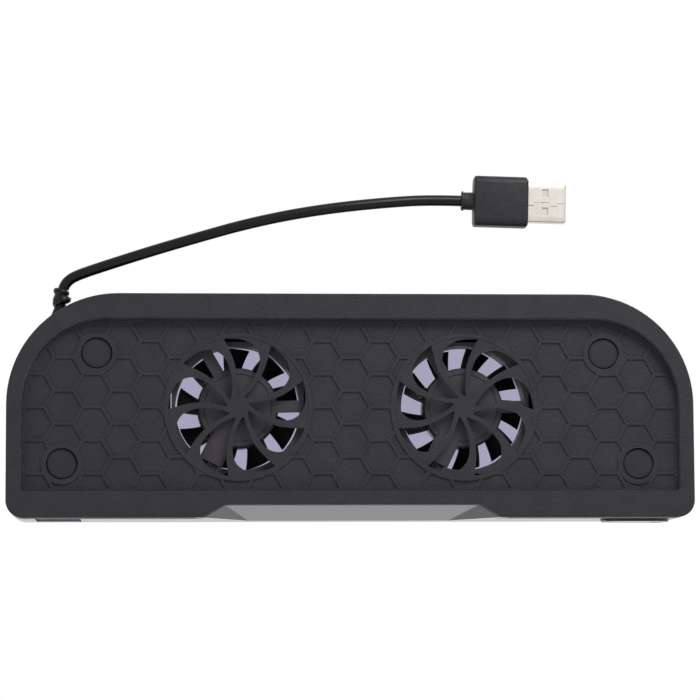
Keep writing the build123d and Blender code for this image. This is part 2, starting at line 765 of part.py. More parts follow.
with BuildPart() as fan_screws:
    for side in fan_x:
        for dx in (-frame_corner, frame_corner):
            for dy in (-frame_corner, frame_corner):
                x = fan_x[side] + dx
                y = fan_y + dy
                round_post(x, y, fan_top, fan_top + fan_screw_head_t, fan_screw_head_r)
                round_post(x, y, fan_top - fan_screw_length, fan_top, screw_core_r - screw_thread_play)
                with Locations((x, y, fan_top + fan_screw_head_t)):
                    Box(2 * screw_cross_r, screw_cross_w, fan_screw_head_t, mode=Mode.SUBTRACT)
                    Box(screw_cross_w, 2 * screw_cross_r, fan_screw_head_t, mode=Mode.SUBTRACT)
save(fan_screws.part, "fan_screws")


def wire_group(name, centre_line, turns, spacing):
    """Saves a few thin wires that run side by side along one line of points, each turn with a radius.

    spacing gives each wire's shift along X, Y and Z.
    """
    with BuildPart() as wires:
        for shift in spacing:
            points = [Vector(point) + Vector(shift) for point in centre_line]
            with BuildLine() as path:
                FilletPolyline(points, radius=turns)
            with BuildSketch(path.line ^ 0):
                Circle(wire_r)
            sweep(path=path.line)
    save(wires.part, name)


# Main board on three posts, round the screw boss in the front right corner
with BuildPart() as main_board:
    block((board_left, board_right), (board_front, board_back), (board_z, board_top))
    boss_x, boss_y = screw_places[3]
    round_post(boss_x, boss_y, board_z, board_top, collar_r + board_edge_play, Mode.SUBTRACT)
    for x, y in board_posts:
        round_post(x, y, board_z, board_top, board_screw_r + board_hole_play, Mode.SUBTRACT)
save(main_board.part, "main_board")

with BuildPart() as board_screws:
    for x, y in board_posts:
        round_post(x, y, board_top, board_top + board_screw_head_t, board_screw_head_r)
        round_post(x, y, floor_top - board_screw_depth, board_top, board_screw_r - screw_thread_play)
        with Locations((x, y, board_top + board_screw_head_t)):
            Box(2 * board_screw_r, screw_cross_w, board_screw_head_t, mode=Mode.SUBTRACT)
            Box(screw_cross_w, 2 * board_screw_r, board_screw_head_t, mode=Mode.SUBTRACT)
save(board_screws.part, "board_screws")

with BuildPart() as controller_chip:
    block((chip_x - chip_w / 2, chip_x + chip_w / 2), (chip_y - chip_w / 2, chip_y + chip_w / 2),
          (board_top, board_top + chip_t))
    chamfer(controller_chip.edges().group_by(Axis.Z)[-1], chip_t / 4)
save(controller_chip.part, "controller_chip")

with BuildPart() as inductor:
    with BuildSketch(Plane.XY.offset(board_top)):
        with Locations((inductor_x, inductor_y)):
            RectangleRounded(inductor_w, inductor_w, inductor_w / 6)
    extrude(amount=inductor_t)
save(inductor.part, "inductor")

with BuildPart() as capacitor:
    round_post(capacitor_x, capacitor_y, board_top, board_top + capacitor_h, capacitor_r)
    fillet(capacitor.edges().group_by(Axis.Z)[-1], capacitor_r / 8)
save(capacitor.part, "capacitor")

with BuildPart() as wire_sockets:
    for x, y, turn in socket_places:
        with Locations(Location((x, y, board_top), (0, 0, turn))):
            Box(socket_l, socket_w, socket_h, align=(Align.MIN, Align.CENTER, Align.MIN))
save(wire_sockets.part, "wire_sockets")

# Stacked USB sockets: folded shell, insulator with a tongue in each mouth, contacts under the tongues
mouth_places = [(usb_x, usb_z - usb_mouth_pitch / 2), (usb_x, usb_z + usb_mouth_pitch / 2)]
usb_back = usb_front + usb_depth
mouth_back = usb_front + usb_tongue_length
with BuildPart() as usb_shell:
    block((usb_x - usb_w / 2, usb_x + usb_w / 2), (usb_front, usb_back), (board_top, board_top + usb_h))
    fillet(usb_shell.edges().filter_by(Axis.Y), usb_shell_r)
    block((usb_x - usb_w / 2 + usb_sheet, usb_x + usb_w / 2 - usb_sheet),
          (usb_front + usb_sheet, usb_back - usb_sheet),
          (board_top + usb_sheet, board_top + usb_h - usb_sheet), Mode.SUBTRACT)
    for x, z in mouth_places:
        block((x - usb_mouth_w / 2, x + usb_mouth_w / 2), (usb_front, usb_front + usb_sheet),
              (z - usb_mouth_h / 2, z + usb_mouth_h / 2), Mode.SUBTRACT)
save(usb_shell.part, "usb_shell")

with BuildPart() as usb_insulator:
    block((usb_x - usb_w / 2 + usb_sheet, usb_x + usb_w / 2 - usb_sheet),
          (usb_front + usb_sheet, usb_back - usb_sheet),
          (board_top + usb_sheet, board_top + usb_h - usb_sheet))
    for x, z in mouth_places:
        block((x - usb_mouth_w / 2, x + usb_mouth_w / 2), (usb_front, mouth_back),
              (z - usb_mouth_h / 2, z + usb_mouth_h / 2), Mode.SUBTRACT)
        block((x - usb_tongue_w / 2, x + usb_tongue_w / 2), (usb_front + usb_tongue_back, mouth_back),
              (z + usb_tongue_up - usb_tongue_t / 2, z + usb_tongue_up + usb_tongue_t / 2))
save(usb_insulator.part, "usb_insulator")

with BuildPart() as usb_contacts:
    for x, z in mouth_places:
        with Locations((x, 0, z + usb_tongue_up - usb_tongue_t / 2)):
            with GridLocations(contact_pitch, 1, 4, 1):
                with Locations((0, (usb_front + usb_tongue_back + contact_back + mouth_back) / 2, 0)):
                    Box(contact_w, mouth_back - usb_front - usb_tongue_back - contact_back, contact_t,
                        align=(Align.CENTER, Align.CENTER, Align.MAX))
save(usb_contacts.part, "usb_contacts")

# Push button: cap with its flange and light window, plunger, switch, light and their board
switch_back = switch_front + switch_t
lens_x = button_x - button_w / 2 + button_h / 2 - lens_out
with BuildPart() as power_button:
    with BuildSketch(Plane.XZ.offset(-(front_y - button_proud))):
        with Locations((button_x, button_z)):
            SlotOverall(button_w, button_h)
    extrude(amount=-(button_back - front_y + button_proud))
    fillet(power_button.edges().group_by(Axis.Y)[0], button_edge_r)
    with BuildSketch(Plane.XZ.offset(-(button_back - button_flange_t))):
        with Locations((button_x, button_z)):
            SlotOverall(button_w + 2 * button_flange, button_h + 2 * button_flange)
    extrude(amount=-button_flange_t)
    with BuildSketch(Plane.XZ.offset(-(front_y - button_proud))):
        with Locations((lens_x, button_z)):
            SlotOverall(button_lens_h, button_lens_w, rotation=90)
    extrude(amount=-(button_back - front_y + button_proud), mode=Mode.SUBTRACT)
save(power_button.part, "power_button")

with BuildPart() as button_lens:
    with BuildSketch(Plane.XZ.offset(-(front_y - button_proud + lens_sunk))):
        with Locations((lens_x, button_z)):
            SlotOverall(button_lens_h, button_lens_w, rotation=90)
    extrude(amount=-(button_back - front_y + button_proud - lens_sunk))
save(button_lens.part, "button_lens")

with BuildPart() as switch_plunger:
    with BuildSketch(Plane.XZ.offset(-button_back)):
        with Locations((button_x, button_z)):
            Circle(plunger_r)
    extrude(amount=-(switch_front - button_back + plunger_depth))
save(switch_plunger.part, "switch_plunger")

with BuildPart() as push_switch:
    block((button_x - switch_size / 2, button_x + switch_size / 2), (switch_front, switch_back),
          (button_z - switch_size / 2, button_z + switch_size / 2))
    chamfer(push_switch.edges().filter_by(Axis.Y), switch_t / 8)
    with BuildSketch(Plane.XZ.offset(-switch_front)):
        with Locations((button_x, button_z)):
            Circle(plunger_r + plunger_play)
    extrude(amount=-(plunger_depth + button_travel + switch_gap), mode=Mode.SUBTRACT)
save(push_switch.part, "push_switch")

with BuildPart() as status_light:
    block((lens_x - light_w / 2, lens_x + light_w / 2), (switch_back - light_t, switch_back),
          (button_z - light_w / 2, button_z + light_w / 2))
save(status_light.part, "status_light")

with BuildPart() as switch_board:
    block((button_x - switch_board_w / 2, button_x + switch_board_w / 2),
          (switch_back, switch_back + board_t),
          (button_z - switch_board_h / 2, button_z + switch_board_h / 2))
save(switch_board.part, "switch_board")

# Wires: each fan's pair leaves by its channel, the switch's pair goes round the back
channel_out = polar(channel_exit_r, channel_angle)
channel_in = polar(channel_start_r + wire_slot_l, channel_angle)
wire_z = fan_z + channel_groove_t / 2 + wire_r / 2
chin_back = front_y + chin_depth + chin_insert_t + chin_play + wall
lane_y = (chin_back + fan_y - fan_size / 2) / 2
lane_heights = (floor_top + low_lane_up, wire_z)
for side, lane_z, (socket_x, socket_y, _) in zip(("left", "right"), lane_heights, socket_places):
    wire_group(f"{side}_fan_wires",
               [(fan_x[side] + channel_in[0], fan_y + channel_in[1], wire_z),
                (fan_x[side] + channel_out[0], fan_y + channel_out[1], wire_z),
                (fan_x[side] + channel_out[0] + lane_run, lane_y, lane_z),
                (socket_x - 2 * socket_l, lane_y, lane_z),
                (socket_x - socket_l, socket_y, board_top + socket_h / 2),
                (socket_x - fan_wire_step[0], socket_y, board_top + socket_h / 2)],
               wire_turn, [fan_wire_step, [-step for step in fan_wire_step]])

switch_socket_x, switch_socket_y, _ = socket_places[2]
switch_wire_side = half_l - switch_wire_in
switch_wire_back = back_y - wall - switch_wire_gap
wire_group("switch_wires",
           [(-switch_wire_side, switch_back + board_t, switch_wire_z),
            (-switch_wire_side, switch_wire_back, switch_wire_z),
            (switch_socket_x, switch_wire_back, switch_wire_z),
            (switch_socket_x, switch_socket_y + socket_l, switch_wire_z),
            (switch_socket_x, switch_socket_y, board_top + socket_h / 2)],
           [switch_wire_corner, 2 * wire_turn, 2 * wire_turn],
           [(0, 0, -wire_pitch / 2), (0, 0, wire_pitch / 2)])

# Gland: a rubber moulding held in the seam, with the end of the lead inside it
with BuildPart() as cable_gland:
    for low, high, radius in ((-gland_tip_t, 0, gland_tip_r),
                              (-gland_collar_out, -gland_tip_t, gland_groove_r),
                              (-gland_length, -gland_collar_out, gland_neck_r),
                              (-gland_length, -gland_length + gland_flange_t, gland_flange_r)):
        with BuildSketch(gland_turn.offset(low)):
            Circle(radius)
        extrude(amount=high - low)
    with BuildSketch(Plane(origin=gland_turn.offset(-gland_collar_out).origin, x_dir=(0, 0, 1),
                           z_dir=(sin(radians(gland_collar_tilt)), cos(radians(gland_collar_tilt)), 0))):
        Circle(gland_collar_r)
    extrude(amount=gland_collar_t)
    with BuildSketch(gland_turn.offset(-gland_length)):
        Circle(cable_d / 2)
    extrude(amount=gland_length, mode=Mode.SUBTRACT)
save(cable_gland.part, "cable_gland")

with BuildPart() as lead_tail:
    with BuildSketch(gland_turn.offset(-gland_length - tail_length)):
        Circle(cable_d / 2 - tail_play)
    extrude(amount=gland_length + tail_length)
save(lead_tail.part, "lead_tail")

core_step = lead_core_r * sin(radians(gland_tilt))
tail_end = gland_turn.offset(-gland_length - tail_length - core_step).origin
tail_lead = gland_turn.offset(-gland_length - tail_length - core_step - wire_turn * 2).origin
lead_socket_x, lead_socket_y, _ = socket_places[3]
wire_group("lead_wires",
           [tuple(tail_end), tuple(tail_lead),
            (lead_socket_x, lead_socket_y + socket_w, board_top + socket_h / 2),
            (lead_socket_x, lead_socket_y, board_top + socket_h / 2)],
           wire_turn,
           [(dx, 0, dz) for dx in (-lead_core_r, lead_core_r) for dz in (-lead_core_r, lead_core_r)])

# Lead: one limp cable along straight runs, with an arc at each turn as large as its two runs allow
legs = [Vector(b) - Vector(a) for a, b in zip(cable_route, cable_route[1:])]
arc_radii = [arc_share * min(before.length, after.length) / tan(radians(before.get_angle(after)) / 2)
             for before, after in zip(legs, legs[1:])]
with BuildPart() as usb_lead:
    with BuildLine() as lead_line:
        FilletPolyline(cable_route, radius=arc_radii)
    with BuildSketch(lead_line.line ^ 0):
        Circle(cable_d / 2)
    sweep(path=lead_line.line)
lead_length = sum(edge.length for edge in lead_line.edges())
print("lead radii", [round(radius, 1) for radius in arc_radii], "length", lead_length,
      "volume", usb_lead.part.volume, "section by length", pi * cable_d ** 2 / 4 * lead_length)
save(usb_lead.part, "usb_lead")

# Plug on the end of the lead, its length along the lead's last direction
plug_place = Plane(origin=cable_route[-1], x_dir=(-sin(radians(plug_turn)), cos(radians(plug_turn)), 0),
                   z_dir=(cos(radians(plug_turn)), sin(radians(plug_turn)), 0))
body_end = plug_relief_l + plug_body_l
with BuildPart() as plug_body:
    with BuildSketch(plug_place.offset(plug_relief_l)):
        RectangleRounded(plug_body_w, plug_body_t, plug_body_edge)
    extrude(amount=plug_body_l)
    chamfer(plug_body.edges().filter_by(lambda edge: abs(plug_place.to_local_coords(edge.center()).Z
                                                         - plug_relief_l) < plug_end_edge / 2), plug_end_edge)
    with BuildSketch(plug_place):
        Circle(plug_relief_r)
    extrude(amount=plug_relief_l)
    with BuildSketch(plug_place):
        Circle(plug_lip_r)
    extrude(amount=plug_lip_t)
    with BuildSketch(plug_place.offset(body_end - shell_hold)):
        Rectangle(shell_w, shell_h)
    extrude(amount=shell_hold, mode=Mode.SUBTRACT)
save(plug_body.part, "plug_body")

with BuildPart() as plug_shell:
    with BuildSketch(plug_place.offset(body_end - shell_hold)):
        Rectangle(shell_w, shell_h)
        Rectangle(shell_w - 2 * shell_sheet, shell_h - 2 * shell_sheet, mode=Mode.SUBTRACT)
    extrude(amount=shell_hold + shell_l)
    windows = Plane(origin=plug_place.offset(body_end + shell_window_out).origin, x_dir=plug_place.x_dir,
                    z_dir=(0, 0, 1))
    with BuildSketch(windows):
        with GridLocations(shell_window_pitch, 1, 2, 1):
            Rectangle(shell_window_w, shell_window_l)
    extrude(amount=shell_h, both=True, mode=Mode.SUBTRACT)
save(plug_shell.part, "plug_shell")

inner_shell_w = shell_w - 2 * shell_sheet
inner_shell_h = shell_h - 2 * shell_sheet
with BuildPart() as plug_insulator:
    with BuildSketch(plug_place.offset(body_end - shell_hold)):
        Rectangle(inner_shell_w, inner_shell_h)
    extrude(amount=shell_hold)
    with BuildSketch(plug_place.offset(body_end)):
        with Locations((0, (plug_tongue_t - inner_shell_h) / 2)):
            Rectangle(inner_shell_w, plug_tongue_t)
    extrude(amount=shell_l - plug_tongue_back)
save(plug_insulator.part, "plug_insulator")

with BuildPart() as plug_contacts:
    with BuildSketch(plug_place.offset(body_end)):
        with Locations((0, plug_tongue_t - inner_shell_h / 2 + contact_t / 2)):
            with GridLocations(contact_pitch, 1, 4, 1):
                Rectangle(contact_w, contact_t)
    extrude(amount=shell_l - plug_tongue_back - contact_back)
save(plug_contacts.part, "plug_contacts")
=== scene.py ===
"""Looks of a console cooling dock: satin black case, honeycomb underside with two fans, short USB lead.

Every length is in metres, in the part's own frame: +Z is up and the front face looks towards -Y. The
photograph shows the underside, so its camera stands below the dock and the left of the picture is +X.
"""

import json
import logging
import math
from dataclasses import dataclass, field
from enum import Enum
from typing import Sequence

import bmesh
import bpy
import numpy as np
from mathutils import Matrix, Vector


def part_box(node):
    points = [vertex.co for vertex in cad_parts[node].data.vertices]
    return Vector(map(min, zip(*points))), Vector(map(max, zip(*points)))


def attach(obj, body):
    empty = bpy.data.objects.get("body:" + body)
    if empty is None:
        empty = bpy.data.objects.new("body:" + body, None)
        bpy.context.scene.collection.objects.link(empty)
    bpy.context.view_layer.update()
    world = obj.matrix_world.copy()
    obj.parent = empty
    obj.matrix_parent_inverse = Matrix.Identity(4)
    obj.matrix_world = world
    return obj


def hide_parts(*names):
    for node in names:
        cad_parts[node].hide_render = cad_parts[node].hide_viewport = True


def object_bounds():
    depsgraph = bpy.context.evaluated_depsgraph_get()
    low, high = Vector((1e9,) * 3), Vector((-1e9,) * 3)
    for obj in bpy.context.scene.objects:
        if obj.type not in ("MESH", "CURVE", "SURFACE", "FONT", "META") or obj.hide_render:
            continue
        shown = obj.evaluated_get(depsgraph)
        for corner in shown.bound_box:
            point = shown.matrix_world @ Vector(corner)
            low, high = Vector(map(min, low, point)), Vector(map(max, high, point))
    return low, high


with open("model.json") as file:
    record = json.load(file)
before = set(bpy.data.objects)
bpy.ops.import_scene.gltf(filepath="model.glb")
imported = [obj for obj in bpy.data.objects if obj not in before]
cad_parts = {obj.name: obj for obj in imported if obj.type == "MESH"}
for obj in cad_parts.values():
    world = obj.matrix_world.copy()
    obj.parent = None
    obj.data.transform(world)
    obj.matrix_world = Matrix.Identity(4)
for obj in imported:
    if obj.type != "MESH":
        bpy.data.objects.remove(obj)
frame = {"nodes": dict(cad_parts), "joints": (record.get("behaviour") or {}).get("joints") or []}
cad_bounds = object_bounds()

MM = 0.001
LOG = logging.getLogger("cooling_dock")


class Side(Enum):
    """The two fans, named by the side of the dock that they are on."""

    LEFT = "left"
    RIGHT = "right"


class Body(Enum):
    """The rigid bodies that the pieces ride on."""

    DOCK = "dock"
    LEFT_ROTOR = "left_rotor"
    RIGHT_ROTOR = "right_rotor"


ROTOR_OF = {Side.LEFT: Body.LEFT_ROTOR, Side.RIGHT: Body.RIGHT_ROTOR}
# How far each rotor is turned at rest, in degrees
ROTOR_PHASE = {Side.LEFT: 0.6, Side.RIGHT: 23.3}
# Noise values between which a finish goes from its main colour to its patch colour
CLOUD_START = 0.35
CLOUD_END = 0.72


def linear(colour: str) -> tuple[float, float, float, float]:
    """Turns an sRGB hex colour into linear light.

    Args:
        colour: Six hex digits, with or without a leading #.

    Returns:
        Red, green, blue and an alpha of 1, each from 0 to 1.
    """
    digits = colour.lstrip("#")
    steps = np.array([int(digits[i:i + 2], 16) for i in (0, 2, 4)]) / 255
    light = np.where(steps <= 0.04045, steps / 12.92, ((steps + 0.055) / 1.055) ** 2.4)
    return (*light.tolist(), 1.0)


def add_node(tree: bpy.types.NodeTree, kind: str, settings: dict | None = None,
             links: dict | None = None) -> bpy.types.Node:
    """Adds one shader node.

    Args:
        tree: The node tree that takes it.
        kind: The node's type name, without the ShaderNode in front.
        settings: Values by name, for the node's own properties or its input sockets.
        links: Output sockets by the name or number of the input that each one feeds.

    Returns:
        The new node.
    """
    node = tree.nodes.new("ShaderNode" + kind)
    for name, value in (settings or {}).items():
        if isinstance(name, str) and hasattr(node, name):
            setattr(node, name, value)
        else:
            node.inputs[name].default_value = value
    for name, socket in (links or {}).items():
        tree.links.new(socket, node.inputs[name])
    return node


def set_ramp(node: bpy.types.Node, stops: Sequence[tuple[float, str]]) -> None:
    """Gives a colour ramp its stops, as places from 0 to 1 and sRGB colours."""
    ramp = node.color_ramp
    while len(ramp.elements) < len(stops):
        ramp.elements.new(1.0)
    for element, (place, colour) in zip(ramp.elements, stops):
        element.position = place
        element.color = linear(colour)


def empty_material(name: str) -> bpy.types.Material:
    """Makes a material with no shader nodes yet."""
    material = bpy.data.materials.new(name)
    material.use_nodes = True
    material.node_tree.nodes.clear()
    return material


@dataclass(frozen=True)
class Finish:
    """One real finish: what it is made of and how its surface was made, with its lengths in millimetres.

    Attributes:
        name: The material's name.
        colour: Main sRGB colour.
        patch_colour: Colour of its faint cloudy patches.
        roughness: Micro roughness of the shine.
        ior: Index of refraction, which sets how strong the shine is.
        metallic: 1 for a bare metal.
        grain: Spacing of the surface grain.
        grain_depth: Height of the grain.
        patch: Spacing of the cloudy patches.
        edge: Radius to which moulding rounds the sharp edges.
        specular: Share of the usual shine of a plastic, where 0.5 is all of it.
        edge_tint: sRGB colour of a metal's shine at a glancing angle.
        sheen: Strength of the pale bloom that a spark-eroded surface shows at a glancing angle.
        foot_edge: Radius of the edges that the object stands on, where they are rounder than the rest.
        foot_level: Height up to which foot_edge holds.
    """

    name: str
    colour: str
    patch_colour: str
    roughness: float
    ior: float = 1.5
    metallic: float = 0.0
    grain: float = 0.3
    grain_depth: float = 0.006
    patch: float = 2
    edge: float = 0.1
    specular: float = 0.5
    edge_tint: str = "ffffff"
    sheen: float = 0.0
    foot_edge: float = 0.0
    foot_level: float = 1.0

    def build(self) -> bpy.types.Material:
        """Builds the material: patches in the colour, grain in the bump, and edges rounded as moulded."""
        material = empty_material(self.name)
        tree = material.node_tree
        place = add_node(tree, "TexCoord").outputs["Object"]
        cloud = add_node(tree, "TexNoise", {"Scale": 1 / (self.patch * MM), "Detail": 3.0},
                         {"Vector": place})
        tint = add_node(tree, "ValToRGB", {}, {"Fac": cloud.outputs["Fac"]})
        set_ramp(tint, [(CLOUD_START, self.colour), (CLOUD_END, self.patch_colour)])
        grain = add_node(tree, "TexNoise", {"Scale": 1 / (self.grain * MM), "Detail": 2.0, "Roughness": 0.6},
                         {"Vector": place})
        rounded = add_node(tree, "Bevel", {"samples": 4, "Radius": self.edge * MM})
        if self.foot_edge:
            height = add_node(tree, "SeparateXYZ", {}, {"Vector": place}).outputs["Z"]
            at_foot = add_node(tree, "Math", {"operation": "LESS_THAN", 1: self.foot_level * MM},
                               {0: height})
            radius = add_node(tree, "MapRange", {"To Min": self.edge * MM, "To Max": self.foot_edge * MM},
                              {"Value": at_foot.outputs["Value"]})
            tree.links.new(radius.outputs["Result"], rounded.inputs["Radius"])
        bump = add_node(tree, "Bump", {"Strength": 1.0, "Distance": self.grain_depth * MM},
                        {"Height": grain.outputs["Fac"], "Normal": rounded.outputs["Normal"]})
        shade = add_node(tree, "BsdfPrincipled",
                         {"Roughness": self.roughness, "IOR": self.ior, "Metallic": self.metallic,
                          "Specular IOR Level": self.specular, "Specular Tint": linear(self.edge_tint),
                          "Sheen Weight": self.sheen, "Sheen Roughness": 0.3},
                         {"Base Color": tint.outputs["Color"], "Normal": bump.outputs["Normal"]})
        add_node(tree, "OutputMaterial", {}, {"Surface": shade.outputs["BSDF"]})
        return material


# ABS moulded in a spark-eroded tool: a dark violet-grey with a fine dull grain
CASE_ABS = Finish("satin_black_abs", "2a282d", "302e33", 0.55, 1.45, grain=0.62, grain_depth=0.2, patch=6,
                  specular=0.22, sheen=0.12, foot_edge=0.4)
# ABS moulded in a polished tool: black, with a mirror shine that shows the room at a glancing angle
POLISHED_ABS = Finish("polished_black_abs", "0e0c11", "100e13", 0.17, grain=4, grain_depth=0.004, patch=30,
                      edge=0.2, specular=0.35)
# The same plastic in the chin, painted a shade paler and more violet to stand in for the tinted reflection
# on its facets
CHIN_ABS = Finish("polished_grey_abs", "292430", "2b2632", 0.12, grain=4, grain_depth=0.004, patch=30,
                  edge=0.15, specular=0.4)
# Glass-filled PBT: dark grey, dry looking, with a faint flow grain
FAN_PBT = Finish("glass_filled_pbt", "413e43", "474448", 0.65, grain_depth=0.018, patch=5, edge=0.12,
                 specular=0.12)
# Black PBT for the blades, painted darker still to stand in for the shade that lies on them inside the fans
BLADE_PBT = Finish("blade_pbt_with_painted_shade", "08080a", "0b0b0d", 0.42, patch=6, specular=0.25)
# Moulded silicone rubber: duller than the case, with a finer grain
PLUG_RUBBER = Finish("grey_rubber", "2d2b31", "312f35", 0.65, 1.41, grain=0.35, grain_depth=0.02, patch=4,
                     edge=0.15, specular=0.22)
# Soft PVC: black, with a weak broad shine
LEAD_PVC = Finish("soft_black_pvc", "080607", "100e0f", 0.3, grain=0.6, grain_depth=0.012, patch=5,
                  specular=0.2)
PLUG_PVC = Finish("moulded_black_pvc", "242225", "2b292c", 0.42, grain=0.55, grain_depth=0.06, patch=1.6,
                  edge=0.2, specular=0.18)
# The gland is softer and shinier than the plug
GLAND_PVC = Finish("gland_pvc", "0a0809", "110e10", 0.32, grain=0.6, grain_depth=0.02, specular=0.2)
# Nickel plate over steel sheet: warm, pale and satin
NICKEL = Finish("nickel_plated_steel", "c9c3ba", "d2ccc3", 0.28, metallic=1.0, grain=0.15,
                grain_depth=0.001, patch=3)
# Steel sheet with a dark bright-dipped plate, as socket shells often have
SOCKET_STEEL = Finish("dark_plated_steel", "77747a", "7e7b80", 0.4, metallic=1.0, grain=0.2,
                      grain_depth=0.002, patch=3, edge_tint="5a585c")
ZINC = Finish("zinc_plated_steel", "b9bbbf", "a5a8b0", 0.3, metallic=1.0, grain=0.2, grain_depth=0.003,
              edge=0.08)
GOLD = Finish("gold_plate", "e0b45a", "d3a64e", 0.25, metallic=1.0, grain=0.2, grain_depth=0.001, edge=0.04)
COPPER = Finish("enamelled_copper", "a8532a", "8c4322", 0.35, metallic=0.7, grain=0.25, grain_depth=0.03,
                patch=1, edge=0.05)
LAMINATED_STEEL = Finish("laminated_steel", "6e7074", "5f6166", 0.45, metallic=1.0, grain=0.35,
                         grain_depth=0.02, edge=0.05)
BRONZE = Finish("sintered_bronze", "a5793f", "8e6836", 0.5, metallic=1.0, grain=0.15, grain_depth=0.01,
                patch=1, edge=0.05)
FERRITE = Finish("bonded_ferrite", "2b2b2e", "333338", 0.6, grain=0.2, grain_depth=0.01, edge=0.08)
BOARD = Finish("green_glass_epoxy", "1f5a31", "1a4d2a", 0.35, grain=0.6, grain_depth=0.008, edge=0.05)
EPOXY = Finish("black_epoxy", "17171a", "1d1d20", 0.5, grain=0.15, edge=0.06)
NYLON = Finish("natural_nylon", "e4e0d2", "dcd7c7", 0.45, 1.53)
CAN = Finish("aluminium_can", "c9cbd0", "bfc1c7", 0.3, metallic=1.0, grain=0.2, grain_depth=0.002)
# The plug's insulator, seen through the windows of its shell
PLUG_NYLON = Finish("grey_nylon", "c9c6c4", "c1bebc", 0.6, 1.53, specular=0.1)
# The labels on the fans' motors, with nothing printed on them
LABEL = Finish("bare_polyester_label", "343135", "3a373b", 0.45, grain=0.8, grain_depth=0.008, patch=6,
               edge=0.04, specular=0.3)
LENS = Finish("milky_acrylic", "cfd4da", "d8dce0", 0.12, 1.49, grain=1, grain_depth=0.001, patch=3)
# The fan leads are black, and lie bare in the wire channel
BLACK_PVC = Finish("black_wire_pvc", "1b191a", "232122", 0.45, grain_depth=0.004, edge=0.05)
RED_PVC = Finish("red_wire_pvc", "7a1613", "8a1b17", 0.4, grain_depth=0.004, edge=0.05)


def both(name: str) -> tuple[str, ...]:
    """Gives the names of the nodes that the left and the right fan have of one kind."""
    return tuple(f"{side.value}_{name}" for side in Side)


# The finish of each node of the part
NODE_FINISHES: dict[Finish, tuple[str, ...]] = {
    CASE_ABS: ("base_cover",),
    POLISHED_ABS: ("top_housing", "power_button"),
    CHIN_ABS: ("chin_insert",),
    FAN_PBT: both("fan_frame"),
    BLADE_PBT: both("fan_rotor"),
    PLUG_RUBBER: ("rubber_strips", "rear_left_screw_plug", "rear_right_screw_plug",
                  "front_left_screw_plug", "front_right_screw_plug"),
    LEAD_PVC: ("usb_lead", "lead_tail"),
    PLUG_PVC: ("plug_body",),
    GLAND_PVC: ("cable_gland",),
    NICKEL: ("plug_shell",),
    SOCKET_STEEL: ("usb_shell",),
    ZINC: ("case_screws", "fan_screws", "board_screws", *both("rotor_shaft")),
    GOLD: ("usb_contacts", "plug_contacts"),
    COPPER: both("stator_coils"),
    LAMINATED_STEEL: both("stator_core"),
    BRONZE: both("fan_bearing"),
    FERRITE: (*both("rotor_magnet"), "inductor"),
    BOARD: ("main_board", "switch_board", *both("fan_driver_board")),
    EPOXY: ("controller_chip", "push_switch", "switch_plunger", "usb_insulator"),
    NYLON: ("wire_sockets",),
    PLUG_NYLON: ("plug_insulator",),
    CAN: ("capacitor",),
    LABEL: both("fan_label"),
    LENS: ("button_lens", "status_light"),
    BLACK_PVC: both("fan_wires"),
    RED_PVC: ("switch_wires", "lead_wires"),
}


class Paintbox:
    """Keeps one material of each finish and paints pieces with it."""

    def __init__(self) -> None:
        """Starts with no materials made."""
        self._made: dict[Finish, bpy.types.Material] = {}

    def material(self, finish: Finish) -> bpy.types.Material:
        """Gives the finish's material, and makes it the first time."""
        if finish not in self._made:
            self._made[finish] = finish.build()
        return self._made[finish]

    def paint(self, piece: bpy.types.Object, finish: Finish) -> None:
        """Gives a piece one finish all over."""
        piece.data.materials.clear()
        piece.data.materials.append(self.material(finish))


def add_object(name: str, data: bpy.types.ID) -> bpy.types.Object:
    """Adds an object to the scene, at the origin."""
    thing = bpy.data.objects.new(name, data)
    bpy.context.scene.collection.objects.link(thing)
    return thing


def unit(vector: np.ndarray) -> np.ndarray:
    """Scales vectors, along their last axis, to a length of 1."""
    return vector / np.linalg.norm(vector, axis=-1, keepdims=True)


def grid_faces(rows: int, columns: int, around: bool) -> list[list[int]]:
    """Joins a grid of points into four-sided faces.

    Args:
        rows: Points along the first direction.
        columns: Points along the second direction.
        around: True where the last column joins the first.

    Returns:
        The corner numbers of each face.
    """
    last = columns if around else columns - 1
    row, column = np.meshgrid(np.arange(rows - 1), np.arange(last), indexing="ij")
    after = (column + 1) % columns
    corners = np.stack([row * columns + column, row * columns + after,
                        (row + 1) * columns + after, (row + 1) * columns + column], axis=-1)
    return corners.reshape(-1, 4).tolist()


def make_piece(name: str, points: np.ndarray, faces: list[list[int]], sharp: float) -> bpy.types.Object:
    """Makes a mesh piece at the origin from points in the part's frame.

    Args:
        name: The piece's name.
        points: The corners, as an array of rows of three.
        faces: The corner numbers of each face.
        sharp: Angle in degrees from which an edge is shaded as a crease.

    Returns:
        The piece, with its faces turned outwards.
    """
    mesh = bpy.data.meshes.new(name)
    mesh.from_pydata(points.reshape(-1, 3).tolist(), [], faces)
    mesh.validate()
    shape = bmesh.new()
    shape.from_mesh(mesh)
    bmesh.ops.remove_doubles(shape, verts=shape.verts, dist=MM / 1000)
    bmesh.ops.recalc_face_normals(shape, faces=shape.faces)
    shape.to_mesh(mesh)
    shape.free()
    piece = add_object(name, mesh)
    mesh.polygons.foreach_set("use_smooth", np.ones(len(mesh.polygons), bool))
    mesh.set_sharp_from_angle(angle=math.radians(sharp))
    return piece


def settle(piece: bpy.types.Object, sharp: float) -> None:
    """Makes a piece's modifiers part of its mesh, and marks its creases.

    Args:
        piece: The piece.
        sharp: Angle in degrees from which an edge is shaded as a crease.
    """
    graph = bpy.context.evaluated_depsgraph_get()
    mesh = bpy.data.meshes.new_from_object(piece.evaluated_get(graph))
    piece.modifiers.clear()
    piece.data = mesh
    mesh.set_sharp_from_angle(angle=math.radians(sharp))


